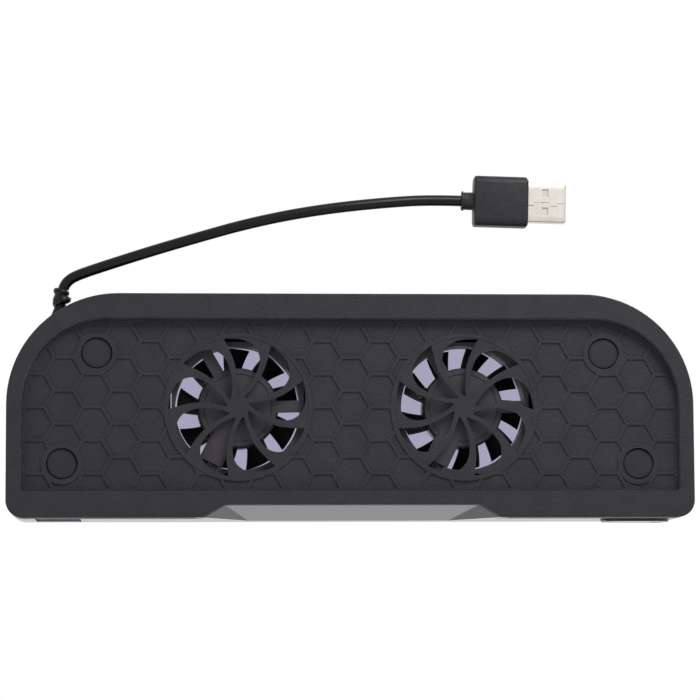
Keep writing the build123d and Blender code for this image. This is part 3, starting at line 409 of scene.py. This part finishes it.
def ring_skin(rings: np.ndarray, close_start: bool = True) -> tuple[np.ndarray, list[list[int]]]:
    """Works out a skin over rings of points, with a fan of faces over its ends.

    Args:
        rings: The points, as rings by points by three.
        close_start: False where the skin stays open at its first ring.

    Returns:
        The corners and the corner numbers of each face.
    """
    count, around, _ = rings.shape
    points = [rings.reshape(-1, 3)]
    faces = grid_faces(count, around, True)
    number = np.arange(around)
    for row in (0, count - 1) if close_start else (count - 1,):
        middle = np.full(around, count * around + len(points) - 1)
        ring = row * around + np.stack([number, (number + 1) % around])
        faces += np.stack([*ring, middle], axis=-1).tolist()
        points.append(rings[row].mean(axis=0)[None])
    return np.concatenate(points), faces


def join_skins(skins: Sequence[tuple[np.ndarray, list[list[int]]]]) -> tuple[np.ndarray, list[list[int]]]:
    """Joins skins into one, whose corner numbers run on from skin to skin."""
    faces = []
    count = 0
    for points, skin in skins:
        faces += [[number + count for number in face] for face in skin]
        count += len(points)
    return np.concatenate([points for points, _ in skins]), faces


def skin_rings(name: str, rings: Sequence[np.ndarray] | np.ndarray, sharp: float) -> bpy.types.Object:
    """Makes a piece of closed skins over rings of points.

    Args:
        name: The piece's name.
        rings: One set of rings by points by three, or a list of such sets.
        sharp: Angle in degrees from which an edge is shaded as a crease.

    Returns:
        The piece.
    """
    sets = rings if isinstance(rings, list) else [rings]
    return make_piece(name, *join_skins([ring_skin(one) for one in sets]), sharp)


@dataclass
class Axes:
    """A place with three directions, as a workplane has.

    Attributes:
        origin: Where it is.
        across: Its first direction.
        forward: The direction along its axis.
    """

    origin: np.ndarray
    across: np.ndarray
    forward: np.ndarray

    def put(self, across: np.ndarray, up: np.ndarray, forward: np.ndarray) -> np.ndarray:
        """Places local coordinates: origin plus each coordinate times its own direction."""
        upward = np.cross(self.forward, self.across)
        return (self.origin + across[..., None] * self.across + up[..., None] * upward
                + forward[..., None] * self.forward)


def turned_rings(centre: Sequence[float], profile: Sequence[tuple[float, float]], around: int) -> np.ndarray:
    """Turns a profile about an upright axis.

    A point of radius r and height h stands at r cos(a), r sin(a) from the axis and at h, for each angle a.

    Args:
        centre: X and Y of the axis.
        profile: Radius and height of each ring, from one end to the other.
        around: Points on each ring.

    Returns:
        The points, as rings by points by three.
    """
    radius, height = np.array(profile).T
    angle = np.arange(around) * 2 * math.pi / around
    return np.stack([centre[0] + radius[:, None] * np.cos(angle),
                     centre[1] + radius[:, None] * np.sin(angle),
                     np.repeat(height[:, None], around, axis=1)], axis=-1)


def arc(centre: tuple[float, float], radius: float, start: float, end: float,
        steps: int = 6) -> list[tuple[float, float]]:
    """Gives points on an arc in a profile: centre plus radius times the cosine and sine of each angle."""
    angle = np.radians(np.linspace(start, end, steps))
    points = np.array(centre) + radius * np.stack([np.cos(angle), np.sin(angle)], axis=-1)
    return points.tolist()


@dataclass
class LeadRoute:
    """The lead's route, and the frames of its gland and plug.

    Attributes:
        points: The route's points, in millimetres: those of the part's source, and a little higher where
            the cable lies on the table, as it is thicker here.
        diameter: The lead's diameter.
        plug_turn: Direction of the plug's axis, in degrees from +X.
        gland_turn: Lean of the gland's axis from +Y towards -X, in degrees.
    """

    points: tuple[tuple[float, float, float], ...] = (
        (87.5, 34.4, 8.0), (86.95, 37.0, 8.0), (85.1, 39.3, 7.8), (81.5, 40.9, 7.3), (73.6, 43.4, 6.0),
        (60.8, 47.3, 4.0), (46.8, 51.3, 2.4), (32.5, 55.3, 1.65), (18.0, 58.5, 1.65), (3.2, 60.8, 1.65),
        (-12.0, 62.5, 2.7), (-24.0, 63.46, 4.0), (-33.8, 63.2, 4.0))
    diameter: float = 3.3 * MM
    plug_turn: float = 181.5
    gland_turn: float = 12.0

    def metres(self) -> np.ndarray:
        """Gives the points in metres."""
        return np.array(self.points) * MM

    def plug_axes(self) -> Axes:
        """Gives the plug's place: its axis runs on from the lead, and its first direction is level."""
        turn = math.radians(self.plug_turn)
        return Axes(self.metres()[-1], np.array([-math.sin(turn), math.cos(turn), 0.0]),
                    np.array([math.cos(turn), math.sin(turn), 0.0]))


@dataclass
class Lead:
    """The lead from the gland to the plug: one limp cable lying on the table.

    Attributes:
        route: The lead's route.
        steps: Steps between two points of the route.
        roundness: Fineness of its round section, as Blender's bevel resolution.
    """

    route: LeadRoute = field(default_factory=LeadRoute)
    steps: int = 16
    roundness: int = 8

    def build(self, paints: Paintbox) -> bpy.types.Object:
        """Makes the cable as a NURBS curve through the route's points.

        Args:
            paints: Where the finishes come from.

        Returns:
            The cable.
        """
        points = self.route.metres()
        curve = bpy.data.curves.new("lead_cable", "CURVE")
        curve.dimensions = "3D"
        curve.resolution_u = self.steps
        curve.bevel_depth = self.route.diameter / 2
        curve.bevel_resolution = self.roundness
        spline = curve.splines.new("NURBS")
        spline.points.add(len(points) - 1)
        spline.points.foreach_set("co", np.column_stack([points, np.ones(len(points))]).ravel())
        spline.order_u = 3
        spline.use_endpoint_u = True
        cable = add_object("lead_cable", curve)
        paints.paint(cable, LEAD_PVC)
        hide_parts("usb_lead")
        return cable


@dataclass
class Gland:
    """The gland: a soft moulding with a collar that leans along the case and a lip round the lead.

    Attributes:
        route: The lead's route.
        rings: Of each ring, its distance out from the lead's start, its shift towards +X and its radius, in
            millimetres, and its lean in degrees towards -Y on its +X side.
        around: Points on each ring.
    """

    route: LeadRoute = field(default_factory=LeadRoute)
    rings: tuple[tuple[float, float, float, float], ...] = (
        (-15.2, 0.0, 2.7, -12), (-13.8, 0.0, 2.8, -12), (-13.7, 0.0, 2.0, -12), (-8.0, 0.0, 2.0, -12),
        (-6.4, 0.0, 1.8, -12), (-4.2, -0.2, 1.75, 4), (-3.2, -0.3, 1.8, 15), (-2.95, -0.65, 2.5, 16),
        (-2.7, -0.6, 2.8, 15), (-2.2, -0.5, 2.88, 12), (-1.5, -0.4, 2.86, 8), (-0.9, -0.25, 2.72, 4),
        (-0.45, -0.1, 2.45, 1), (-0.15, 0.0, 2.2, -2), (0.02, 0.05, 2.1, -4), (0.2, 0.1, 2.2, -6),
        (0.5, 0.2, 2.4, -8), (0.95, 0.3, 2.46, -9), (1.4, 0.35, 2.4, -10), (1.75, 0.35, 2.15, -12),
        (1.85, 0.35, 1.85, -12), (1.7, 0.3, 1.45, -12))
    around: int = 48

    def build(self, paints: Paintbox) -> bpy.types.Object:
        """Makes the gland by carrying a round section along its axis.

        A ring's middle is the lead's start plus its distance along the axis and its shift along X. Its
        points are its radius times the angle's cosine along the leaning direction plus its sine along Z.

        Args:
            paints: Where the finishes come from.

        Returns:
            The gland.
        """
        out, shift, radius, lean = np.array(self.rings).T
        turn = math.radians(self.route.gland_turn)
        axis = np.array([-math.sin(turn), math.cos(turn), 0.0])
        middles = (self.route.metres()[0] + out[:, None] * MM * axis
                   + shift[:, None] * MM * np.array([1.0, 0.0, 0.0]))
        lean = np.radians(lean)
        sideways = np.stack([np.cos(lean), -np.sin(lean), np.zeros_like(lean)], axis=-1)
        angle = np.arange(self.around) * 2 * math.pi / self.around
        rings = (middles[:, None] + radius[:, None, None] * MM
                 * (np.cos(angle)[None, :, None] * sideways[:, None]
                    + np.sin(angle)[None, :, None] * np.array([0.0, 0.0, 1.0])))
        gland = skin_rings("gland_moulding", rings, 50)
        paints.paint(gland, GLAND_PVC)
        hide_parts("cable_gland")
        return gland


def rounded_box_ring(half_width: np.ndarray, half_height: np.ndarray, corner: np.ndarray,
                     steps: int = 6) -> tuple[np.ndarray, np.ndarray]:
    """Gives rings of rounded rectangles.

    Each quarter is an arc about a centre that stands a corner radius inside both sides.

    Args:
        half_width: Half the width of each ring.
        half_height: Half the height of each ring.
        corner: The corner radius of each ring.
        steps: Points on each corner.

    Returns:
        Two arrays, rings by points: the coordinate across and the coordinate up.
    """
    starts = np.arange(0, 360, 90)
    angle = np.radians(np.linspace(starts, starts + 90, steps, axis=-1).ravel())
    quarter = np.repeat(np.array([[1, 1], [-1, 1], [-1, -1], [1, -1]]), steps, axis=0)
    across = quarter[:, 0] * (half_width - corner)[:, None] + corner[:, None] * np.cos(angle)
    up = quarter[:, 1] * (half_height - corner)[:, None] + corner[:, None] * np.sin(angle)
    return across, up


@dataclass
class Plug:
    """The plug: a moulded body with a short lipped relief, and a folded steel shell.

    Attributes:
        route: The lead's route.
        relief_length: Length of the relief, from the lead to the body.
        relief_rings: Place along the relief and radius of each of its rings, in millimetres.
        body_length: Length of the body.
        body_width: Width of the body.
        body_height: Height of the body.
        body_corner: Radius along the body's long edges.
        start_round: How far the body's end at the lead is rounded inwards.
        start_depth: How far that rounding reaches along the body.
        end_round: Radius of the rounding at the shell.
        corner_loss: How fast the long edges' radius shrinks along a rounding.
        shell_length: How far the shell stands out of the body.
        shell_width: Width of the shell.
        shell_height: Height of the shell.
        shell_corner: Radius of the shell's folds.
        shell_grip: How far the shell reaches into the body.
        tip_length: Length of the shell's narrowing tip.
        tip_inset: How far the tip narrows on each side.
        sheet: Thickness of the shell's sheet.
        seam: Width of the seam in the middle of one face.
        window_width: Size of a window across the shell.
        window_length: Size of a window along the shell.
        window_pitch: Distance between the middles of the two windows.
        window_out: Distance of the windows' middles from the body.
        seam_steps: Distance from the body up to which each stretch of the seam runs, and its place across,
            in millimetres.
    """

    route: LeadRoute = field(default_factory=LeadRoute)
    relief_length: float = 3.7 * MM
    relief_rings: tuple[tuple[float, float], ...] = (
        (0.0, 2.6), (0.05, 2.85), (0.15, 2.98), (0.6, 2.98), (0.7, 2.9), (0.75, 2.7), (1.0, 2.68),
        (3.3, 2.72), (3.6, 2.9))
    body_length: float = 16.6 * MM
    body_width: float = 15.3 * MM
    body_height: float = 8.0 * MM
    body_corner: float = 2.2 * MM
    start_round: float = 1.0 * MM
    start_depth: float = 0.7 * MM
    end_round: float = 0.8 * MM
    corner_loss: float = 0.5
    shell_length: float = 11.6 * MM
    shell_width: float = 12.0 * MM
    shell_height: float = 4.5 * MM
    shell_corner: float = 0.5 * MM
    shell_grip: float = 4.0 * MM
    tip_length: float = 0.6 * MM
    tip_inset: float = 0.25 * MM
    sheet: float = 0.35 * MM
    seam: float = 0.18 * MM
    window_width: float = 2.4 * MM
    window_length: float = 1.9 * MM
    window_pitch: float = 5.6 * MM
    window_out: float = 5.2 * MM
    seam_steps: tuple[tuple[float, float], ...] = ((1.8, 0.95), (6.75, 0.0), (9.0, 1.05), (11.6, 0.2))

    def build_body(self) -> bpy.types.Object:
        """Makes the relief and the body as one moulding.

        Its sections are rounded rectangles whose half sizes shrink along a quarter circle at both ends.

        Returns:
            The body.
        """
        end = self.relief_length + self.body_length
        turn = np.linspace(0, math.pi / 2, 7)
        rows = [np.array(self.relief_rings)[:, [0, 1, 1, 1]] * MM]
        for face, depth, rounding, angle in ((self.relief_length, self.start_depth, self.start_round, turn),
                                             (end, -self.end_round, self.end_round, turn[::-1])):
            inset = rounding * (1 - np.sin(angle))
            rows.append(np.stack([face + depth * (1 - np.cos(angle)), self.body_width / 2 - inset,
                                  self.body_height / 2 - inset, self.body_corner - self.corner_loss * inset],
                                 axis=-1))
        along, half_width, half_height, corner = np.concatenate(rows).T
        across, up = rounded_box_ring(half_width, half_height, corner, 8)
        axes = self.route.plug_axes()
        points = axes.put(across, up, np.repeat(along[:, None], across.shape[1], 1))
        return skin_rings("plug_moulding", points, 35)

    def build_shell(self) -> bpy.types.Object:
        """Makes the shell as a folded sheet with two windows in each broad face and a seam in one.

        The sheet is a grid: one direction goes round the rounded section, the other along the plug. The
        faces that lie in a window or in the stepped seam are left out, and the rest get a thickness.

        Returns:
            The shell.
        """
        half_width = self.shell_width / 2
        half_height = self.shell_height / 2
        flat = half_width - self.shell_corner
        window = self.window_width / 2
        window_at = self.window_pitch / 2
        seams = np.array([[place * MM, place * MM + self.seam] for _, place in self.seam_steps])
        stops = np.unique(np.round(np.concatenate([[-flat, -window_at - window, -window_at + window,
                                                    window_at - window, window_at + window, flat],
                                                   seams.ravel()]), 8))
        corner = self.shell_corner
        across, up = rounded_box_ring(*np.array([[half_width], [half_height], [corner]]), 5)
        rim = np.stack([across[0], up[0]], axis=-1).reshape(4, 5, 2)
        top = np.stack([stops[::-1][1:-1], np.full(len(stops) - 2, half_height)], axis=-1)
        bottom = np.stack([stops[1:-1], np.full(len(stops) - 2, -half_height)], axis=-1)
        section = np.concatenate([rim[0], top, rim[1], rim[2], bottom, rim[3]])
        out = self.relief_length + self.body_length
        near = self.window_out - self.window_length / 2
        far = self.window_out + self.window_length / 2
        ends = [end * MM for end, _ in self.seam_steps[:-1]]
        tip = self.shell_length
        along = out + np.array([-self.shell_grip, ends[0], near, far, ends[1], ends[2],
                                tip - self.tip_length, tip])
        narrow = np.zeros(len(along))
        narrow[-1] = self.tip_inset
        stretch = np.searchsorted(ends, along[:-1] - out + MM / 100)
        across = np.repeat(section[None, :, 0], len(along), 0) * (1 - narrow / half_width)[:, None]
        up = np.repeat(section[None, :, 1], len(along), 0) * (1 - narrow / half_height)[:, None]
        axes = self.route.plug_axes()
        points = axes.put(across, up, np.repeat(along[:, None], len(section), 1))
        faces = grid_faces(len(along), len(section), True)
        row, column = np.divmod(np.array(faces)[:, 0], len(section))
        x, y = ((section + np.roll(section, -1, axis=0)) / 2)[column].T
        broad = np.abs(y) > half_height - corner / 2
        in_window = broad & (np.abs(np.abs(x) - window_at) < window) & (along[row] == out + near)
        left, right = seams[stretch[row]].T
        in_seam = broad & (y < 0) & (left < x) & (x < right)
        kept = [face for face, open_here in zip(faces, in_window | in_seam) if not open_here]
        shell = make_piece("plug_sheet_shell", points, kept, 40)
        thick = shell.modifiers.new("sheet", "SOLIDIFY")
        thick.thickness = self.sheet
        thick.offset = -1
        settle(shell, 30)
        return shell

    def build(self, paints: Paintbox) -> list[bpy.types.Object]:
        """Makes the plug's visible pieces.

        Args:
            paints: Where the finishes come from.

        Returns:
            The body and the shell.
        """
        body = self.build_body()
        paints.paint(body, PLUG_PVC)
        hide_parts("plug_body")
        shell = self.build_shell()
        paints.paint(shell, NICKEL)
        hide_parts("plug_shell")
        return [body, shell]


@dataclass
class ScrewPlugs:
    """The four rubber plugs over the case screws, each a little domed and rounded at its edge.

    Attributes:
        places: Where they are.
        edge: Radius of the moulded edge.
        dome: Height of the dome.
        around: Points on each ring.
    """

    places: tuple[str, ...] = ("rear_left", "rear_right", "front_left", "front_right")
    edge: float = 0.5 * MM
    dome: float = 0.1 * MM
    around: int = 64

    def build(self, paints: Paintbox) -> list[bpy.types.Object]:
        """Turns each plug: the face follows a shallow parabola, then a quarter circle, then the wall.

        Args:
            paints: Where the finishes come from.

        Returns:
            The plugs.
        """
        pieces = []
        for place in self.places:
            low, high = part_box(f"{place}_screw_plug")
            radius = (high.x - low.x) / 2
            share = np.linspace(0.1, 1, 6)
            face = np.stack([share * (radius - self.edge), low.z + self.dome * share ** 2], axis=-1)
            shoulder = low.z + self.dome + self.edge
            wall = arc((radius - self.edge, shoulder), self.edge, 270, 360)
            profile = [*face.tolist(), *wall[1:], (radius, high.z)]
            rings = turned_rings(((low.x + high.x) / 2, (low.y + high.y) / 2), profile, self.around)
            piece = skin_rings(f"{place}_rubber_plug", rings, 30)
            paints.paint(piece, PLUG_RUBBER)
            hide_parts(f"{place}_screw_plug")
            pieces.append(piece)
        return pieces


@dataclass
class SeatStrips:
    """The four soft strips that the console stands on, with fine ribs across them.

    Attributes:
        length: Length of a strip.
        width: Width of a strip.
        rib_pitch: Distance from one rib to the next.
        rib_height: Height of a rib.
        rib_steps: Steps along each rib.
        edge: Radius along a strip's sides.
    """

    length: float = 60.0 * MM
    width: float = 3.0 * MM
    rib_pitch: float = 1.5 * MM
    rib_height: float = 0.3 * MM
    rib_steps: int = 6
    edge: float = 0.35 * MM

    def build(self, paints: Paintbox) -> bpy.types.Object:
        """Makes the strips: a rounded section carried along X, whose top falls and rises as a cosine.

        Args:
            paints: Where the finishes come from.

        Returns:
            The strips, as one piece.
        """
        low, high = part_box("rubber_strips")
        steps = int(self.length / self.rib_pitch) * self.rib_steps + 1
        x = np.linspace(-self.length / 2, self.length / 2, steps)
        end = np.clip((self.length / 2 - np.abs(x)) / self.edge, 0, 1)
        top = high.z - self.rib_height * (0.5 + 0.5 * np.cos(x * 2 * math.pi / self.rib_pitch))
        top = top - self.edge * (1 - np.sqrt(1 - (1 - end) ** 2))
        turn = np.radians(np.linspace(0, 90, 5))
        side = self.width / 2 - self.edge
        across = np.concatenate([[self.width / 2], side + self.edge * np.cos(turn),
                                 -side - self.edge * np.sin(turn), [-self.width / 2]])
        drop = np.concatenate([self.edge * (1 - np.sin(turn)), self.edge * (1 - np.cos(turn))])
        rings = []
        for middle_x in (low.x + self.length / 2, high.x - self.length / 2):
            for middle_y in (low.y + self.width / 2, high.y - self.width / 2):
                z = np.column_stack([np.full(steps, low.z), top[:, None] - drop, np.full(steps, low.z)])
                rings.append(np.stack([np.broadcast_to(middle_x + x[:, None], z.shape),
                                       np.broadcast_to(middle_y + across, z.shape), z], axis=-1))
        strips = skin_rings("ribbed_strips", rings, 50)
        paints.paint(strips, PLUG_RUBBER)
        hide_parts("rubber_strips")
        return strips


@dataclass
class Rotor:
    """A fan rotor: nine cambered blades round a cup.

    Attributes:
        side: Which fan it is.
        phase: Angle of the gap before the first blade, in degrees.
        blades: How many blades there are.
        hub_radius: Outer radius of the cup.
        tip_radius: Radius of the blades' tips.
        hub_top: Thickness of the cup's top.
        shaft_radius: Radius of the bore for the shaft.
        span: Angle that one blade covers, seen along the axis, in degrees.
        sweep: How far the blade leans forward from hub to tip, in degrees.
        camber: Bow of the blade's section.
        root: Thickness at the hub.
        tip: Thickness at the tip.
        sunk: How far the blades' roots reach into the cup.
        edge_power: Power of the sine that rounds the blades' edges, lower for a fuller edge.
        lip: Width of the bevel inside the cup's rim.
        rim: Radius outside the cup's rim.
        crown: Radius round the cup's top.
        fall: How much the top falls towards its dish.
        dish: Depth of the shallow dish in the top.
        dish_slope: Width of the slopes down to it.
        dish_out: Distance of its outer slope from the cup's side.
        dish_in: Distance of its inner slope from the bore.
        around: Points round the cup.
    """

    side: Side
    phase: float
    blades: int = 9
    hub_radius: float = 12.3 * MM
    tip_radius: float = 18.45 * MM
    hub_top: float = 1.2 * MM
    shaft_radius: float = 0.9 * MM
    span: float = 25.5
    sweep: float = 6.0
    camber: float = 0.5 * MM
    root: float = 1.1 * MM
    tip: float = 0.7 * MM
    sunk: float = 0.4 * MM
    edge_power: float = 0.35
    lip: float = 0.1 * MM
    rim: float = 0.25 * MM
    crown: float = 0.7 * MM
    fall: float = 0.02 * MM
    dish: float = 0.12 * MM
    dish_slope: float = 0.3 * MM
    dish_out: float = 1.6 * MM
    dish_in: float = 1.3 * MM
    around: int = 96

    def blade_rings(self, axis: np.ndarray, low: float, high: float, turn: float) -> np.ndarray:
        """Works out one blade as rings of points from hub to tip.

        On the cylinder of radius r, a point of the section's middle line is at angle times r along the
        circle and at its height along the axis. The line bows by camber times one minus the square of
        its place, and the two faces stand half the thickness off it, closing in a round at both edges.

        Args:
            axis: A point on the rotor's axis.
            low: Height of the blade's lower edge.
            high: Height of its upper edge.
            turn: Angle of the blade's middle at the hub, in radians.

        Returns:
            The points, as rings by points by three.
        """
        radius = np.linspace(self.hub_radius - self.sunk, self.tip_radius, 9)[:, None]
        share = (radius - self.hub_radius) / (self.tip_radius - self.hub_radius)
        loop = (np.arange(56) * 2 * math.pi / 56)[None, :]
        along = np.cos(loop)
        side = np.sign(np.sin(loop)) * np.abs(np.sin(loop)) ** self.edge_power
        thick = self.root + (self.tip - self.root) * share
        half_arc = radius * math.radians(self.span / 2) - thick / 2
        half_rise = (high - low) / 2 - thick / 2
        length = np.hypot(half_arc, half_rise)
        off = self.camber * (1 - along ** 2) + side * thick / 2
        circle = along * (half_arc + thick / 3) - off * half_rise / length
        rise = along * (half_rise + thick / 3) + off * half_arc / length
        angle = turn + math.radians(self.sweep) * share + circle / radius
        return np.stack([axis[0] + radius * np.cos(angle), axis[1] + radius * np.sin(angle),
                         np.clip((low + high) / 2 + rise, low, high)], axis=-1)

    def build(self, paints: Paintbox) -> bpy.types.Object:
        """Makes the rotor: the cup is a closed profile turned about the axis, and the blades join it.

        Args:
            paints: Where the finishes come from.

        Returns:
            The rotor.
        """
        node = f"{self.side.value}_fan_rotor"
        low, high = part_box(node)
        magnet_low, magnet_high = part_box(f"{self.side.value}_rotor_magnet")
        cup = (magnet_high.x - magnet_low.x) / 2
        joint = next(j for j in frame["joints"] if j["child"] == ROTOR_OF[self.side].value)
        axis = np.array(joint["pos_m"], float)
        wall = self.hub_radius
        bore = self.shaft_radius
        dish_floor = high.z - self.dish
        profile = [(cup, low.z + self.lip), (cup + self.lip, low.z),
                   *arc((wall - self.rim, low.z + self.rim), self.rim, 270, 360),
                   *arc((wall - self.crown, high.z - self.crown), self.crown, 0, 90, 8),
                   (wall - self.dish_out, high.z - self.fall),
                   (wall - self.dish_out - self.dish_slope, dish_floor),
                   (bore + self.dish_in + self.dish_slope, dish_floor), (bore + self.dish_in, high.z),
                   (bore, high.z), (bore, high.z - self.hub_top), (cup, high.z - self.hub_top)]
        cup_rings = turned_rings(axis, [*profile, profile[0]], self.around)
        skins = [(cup_rings.reshape(-1, 3), grid_faces(len(cup_rings), self.around, True))]
        step = 2 * math.pi / self.blades
        for number in range(self.blades):
            turn = math.radians(self.phase) + step * (number + 0.5)
            skins.append(ring_skin(self.blade_rings(axis, low.z, high.z - self.hub_top / 4, turn), False))
        rotor = make_piece(f"{self.side.value}_rotor_moulding", *join_skins(skins), 40)
        paints.paint(rotor, BLADE_PBT)
        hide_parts(node)
        return rotor


@dataclass
class Studio:
    """The floor, the pale room, the lamps and the camera.

    Attributes:
        aim: The point that the photograph's camera looks at.
        distance: How far the camera stands from it.
        focal_pixels: The lens's focal length in picture pixels.
        picture: The picture's width and height in pixels.
        tilt: How far the camera leans towards the front, in degrees.
        yaw: How far it stands to the side, in degrees.
        roll: How far it is turned about its own axis, in degrees.
        sensor: Width of the camera's sensor, in millimetres.
        floor_half: Half the floor's width.
        floor_gap: How far the floor lies under the dock.
        floor_glow: Light of the floor's own, which keeps it nearly white.
        table_margin: How far the patch of painted table shade reaches past a fan's frame.
        table_gap: How far it lies from the dock's top.
    """

    aim: tuple[float, float, float] = (0.57 * MM, 17.04 * MM, 0.0)
    distance: float = 931.1 * MM
    focal_pixels: float = 3088.0
    picture: float = 700.0
    tilt: float = 5.86
    yaw: float = -3.49
    roll: float = -0.25
    sensor: float = 36.0
    floor_half: float = 3.0
    floor_gap: float = 0.05 * MM
    floor_glow: float = 0.12
    table_margin: float = 3 * MM
    table_gap: float = 0.5 * MM

    def stand(self, thing: bpy.types.Object, across: np.ndarray, up: np.ndarray, back: np.ndarray,
              place: Sequence[float]) -> None:
        """Puts a thing in its place, with its own X, Y and Z along three directions."""
        matrix = np.eye(4)
        matrix[:3, :3] = np.stack([across, up, back], axis=-1)
        matrix[:3, 3] = place
        thing.matrix_world = matrix.T

    def build_camera(self) -> None:
        """Sets the camera where the photograph's camera stood, as fitted."""
        forward = unit(np.array([math.sin(math.radians(self.yaw)), math.sin(math.radians(self.tilt)),
                                 math.cos(math.radians(self.tilt))]))
        right = unit(np.cross(forward, [0.0, 1.0, 0.0]))
        up = np.cross(right, forward)
        turn = math.radians(self.roll)
        right, up = (right * math.cos(turn) + up * math.sin(turn),
                     up * math.cos(turn) - right * math.sin(turn))
        place = np.array(self.aim) - forward * self.distance
        data = bpy.data.cameras.new("photo_camera")
        data.sensor_width = self.sensor
        data.lens = self.focal_pixels * self.sensor / self.picture
        data.clip_start = 0.01
        camera = add_object("photo_camera", data)
        self.stand(camera, right, up, -forward, place)
        bpy.context.scene.camera = camera

    def build_world(self) -> None:
        """Makes a room that looks white and lights the object at a plain level."""
        world = bpy.data.worlds.new("white_room")
        bpy.context.scene.world = world
        world.use_nodes = True
        tree = world.node_tree
        tree.nodes.clear()
        path = add_node(tree, "LightPath")
        seen = add_node(tree, "Math", {"operation": "MAXIMUM"},
                        {0: path.outputs["Is Camera Ray"], 1: path.outputs["Is Glossy Ray"]})
        seen = add_node(tree, "Math", {"operation": "MAXIMUM"},
                        {0: seen.outputs[0], 1: path.outputs["Is Transmission Ray"]})
        dim = add_node(tree, "Background", {"Color": linear("ffffff"), "Strength": 0.5})
        white = add_node(tree, "Background", {"Color": linear("ffffff"), "Strength": 1.0})
        mix = add_node(tree, "MixShader", {}, {0: seen.outputs[0], 1: dim.outputs[0], 2: white.outputs[0]})
        add_node(tree, "OutputWorld", {}, {"Surface": mix.outputs[0]})

    def build_lamps(self) -> None:
        """Hangs four soft round lamps: a key and a fill below the dock, and a key and a fill above it."""
        for name, place, size, power in (("key_below", (-0.16, 0.33, -0.30), 0.25, 1.7),
                                         ("fill_below", (0.6, -0.5, -0.7), 0.8, 1.5),
                                         ("key_above", (-0.6, 0.7, 0.9), 0.6, 12.0),
                                         ("fill_above", (0.8, -0.6, 0.7), 0.8, 5.0)):
            data = bpy.data.lights.new(name, "AREA")
            data.shape = "DISK"
            data.size = size
            data.energy = power
            lamp = add_object(name, data)
            away = unit(np.array(place, float))
            right = unit(np.cross([0.0, 0.0, 1.0], away))
            up = np.cross(away, right)
            self.stand(lamp, right, up, away, place)

    def one_sided(self, name: str, colour: str, glow: float) -> bpy.types.Material:
        """Makes a material that shows on the side that a plane's normal points to, and is clear behind."""
        material = empty_material(name)
        tree = material.node_tree
        back = add_node(tree, "NewGeometry").outputs["Backfacing"]
        dull = add_node(tree, "BsdfDiffuse", {"Color": linear(colour)})
        light = add_node(tree, "Emission", {"Color": linear(colour), "Strength": glow})
        both = add_node(tree, "AddShader", {}, {0: dull.outputs[0], 1: light.outputs[0]})
        clear = add_node(tree, "BsdfTransparent")
        mix = add_node(tree, "MixShader", {}, {0: back, 1: both.outputs[0], 2: clear.outputs[0]})
        add_node(tree, "OutputMaterial", {}, {"Surface": mix.outputs[0]})
        return material

    def build_plane(self, name: str, centre: Sequence[float], half: float, up: bool,
                    material: bpy.types.Material) -> None:
        """Makes a square stage plane that only the camera sees."""
        turn = 1 if up else -1
        corners = np.array([[-1, -turn, 0], [1, -turn, 0], [1, turn, 0], [-1, turn, 0]]) * half + centre
        mesh = bpy.data.meshes.new(name)
        mesh.from_pydata(corners.tolist(), [], [[0, 1, 2, 3]])
        plane = add_object(name, mesh)
        mesh.materials.append(material)
        plane.visible_shadow = False
        plane.visible_diffuse = False
        plane.visible_glossy = False
        plane.visible_transmission = False

    def build_floor(self) -> None:
        """Lays the floor, and the evenly glowing patches of painted table shade that are seen through each
        fan from below.
        """
        floor = self.one_sided("pale_floor", "e9e9ea", self.floor_glow)
        self.build_plane("floor", (0, 0, -self.floor_gap), self.floor_half, True, floor)
        # The table under the dock is painted in its shade: a lavender grey that glows evenly behind each fan
        shade = self.one_sided("painted_table_shade", "a5a0b9", 1.0)
        for side in Side:
            low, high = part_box(f"{side.value}_fan_frame")
            centre = ((low.x + high.x) / 2, (low.y + high.y) / 2, cad_bounds[1][2] + self.table_gap)
            half = (high.x - low.x) / 2 + self.table_margin
            self.build_plane(f"table_behind_{side.value}_fan", centre, half, False, shade)

    def build(self) -> None:
        """Sets up everything round the object."""
        self.build_camera()
        self.build_world()
        self.build_lamps()
        self.build_floor()
        bpy.context.scene.view_settings.view_transform = "Standard"


@dataclass
class Dock:
    """The whole dock, dressed."""

    paints: Paintbox = field(default_factory=Paintbox)
    route: LeadRoute = field(default_factory=LeadRoute)

    def paint_nodes(self) -> None:
        """Gives every CAD node its finish."""
        for finish, nodes in NODE_FINISHES.items():
            for node in nodes:
                self.paints.paint(frame["nodes"][node], finish)

    def build(self) -> None:
        """Builds the pieces in order, and makes each ride on its body."""
        self.paint_nodes()
        cable = Lead(self.route).build(self.paints)
        gland = Gland(self.route).build(self.paints)
        plug = Plug(self.route).build(self.paints)
        pieces = [cable, gland, *plug, *ScrewPlugs().build(self.paints), SeatStrips().build(self.paints)]
        for piece in pieces:
            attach(piece, Body.DOCK.value)
            LOG.info("%s rides on %s", piece.name, Body.DOCK.value)
        for side, phase in ROTOR_PHASE.items():
            rotor = Rotor(side, phase).build(self.paints)
            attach(rotor, ROTOR_OF[side].value)
            LOG.info("%s rides on %s", rotor.name, ROTOR_OF[side].value)
        tuple(self.route.metres()[0])


def main() -> None:
    """Builds the studio and the dock."""
    logging.basicConfig(level=logging.INFO)
    Studio().build()
    Dock().build()


if __name__ == "__main__":
    main()
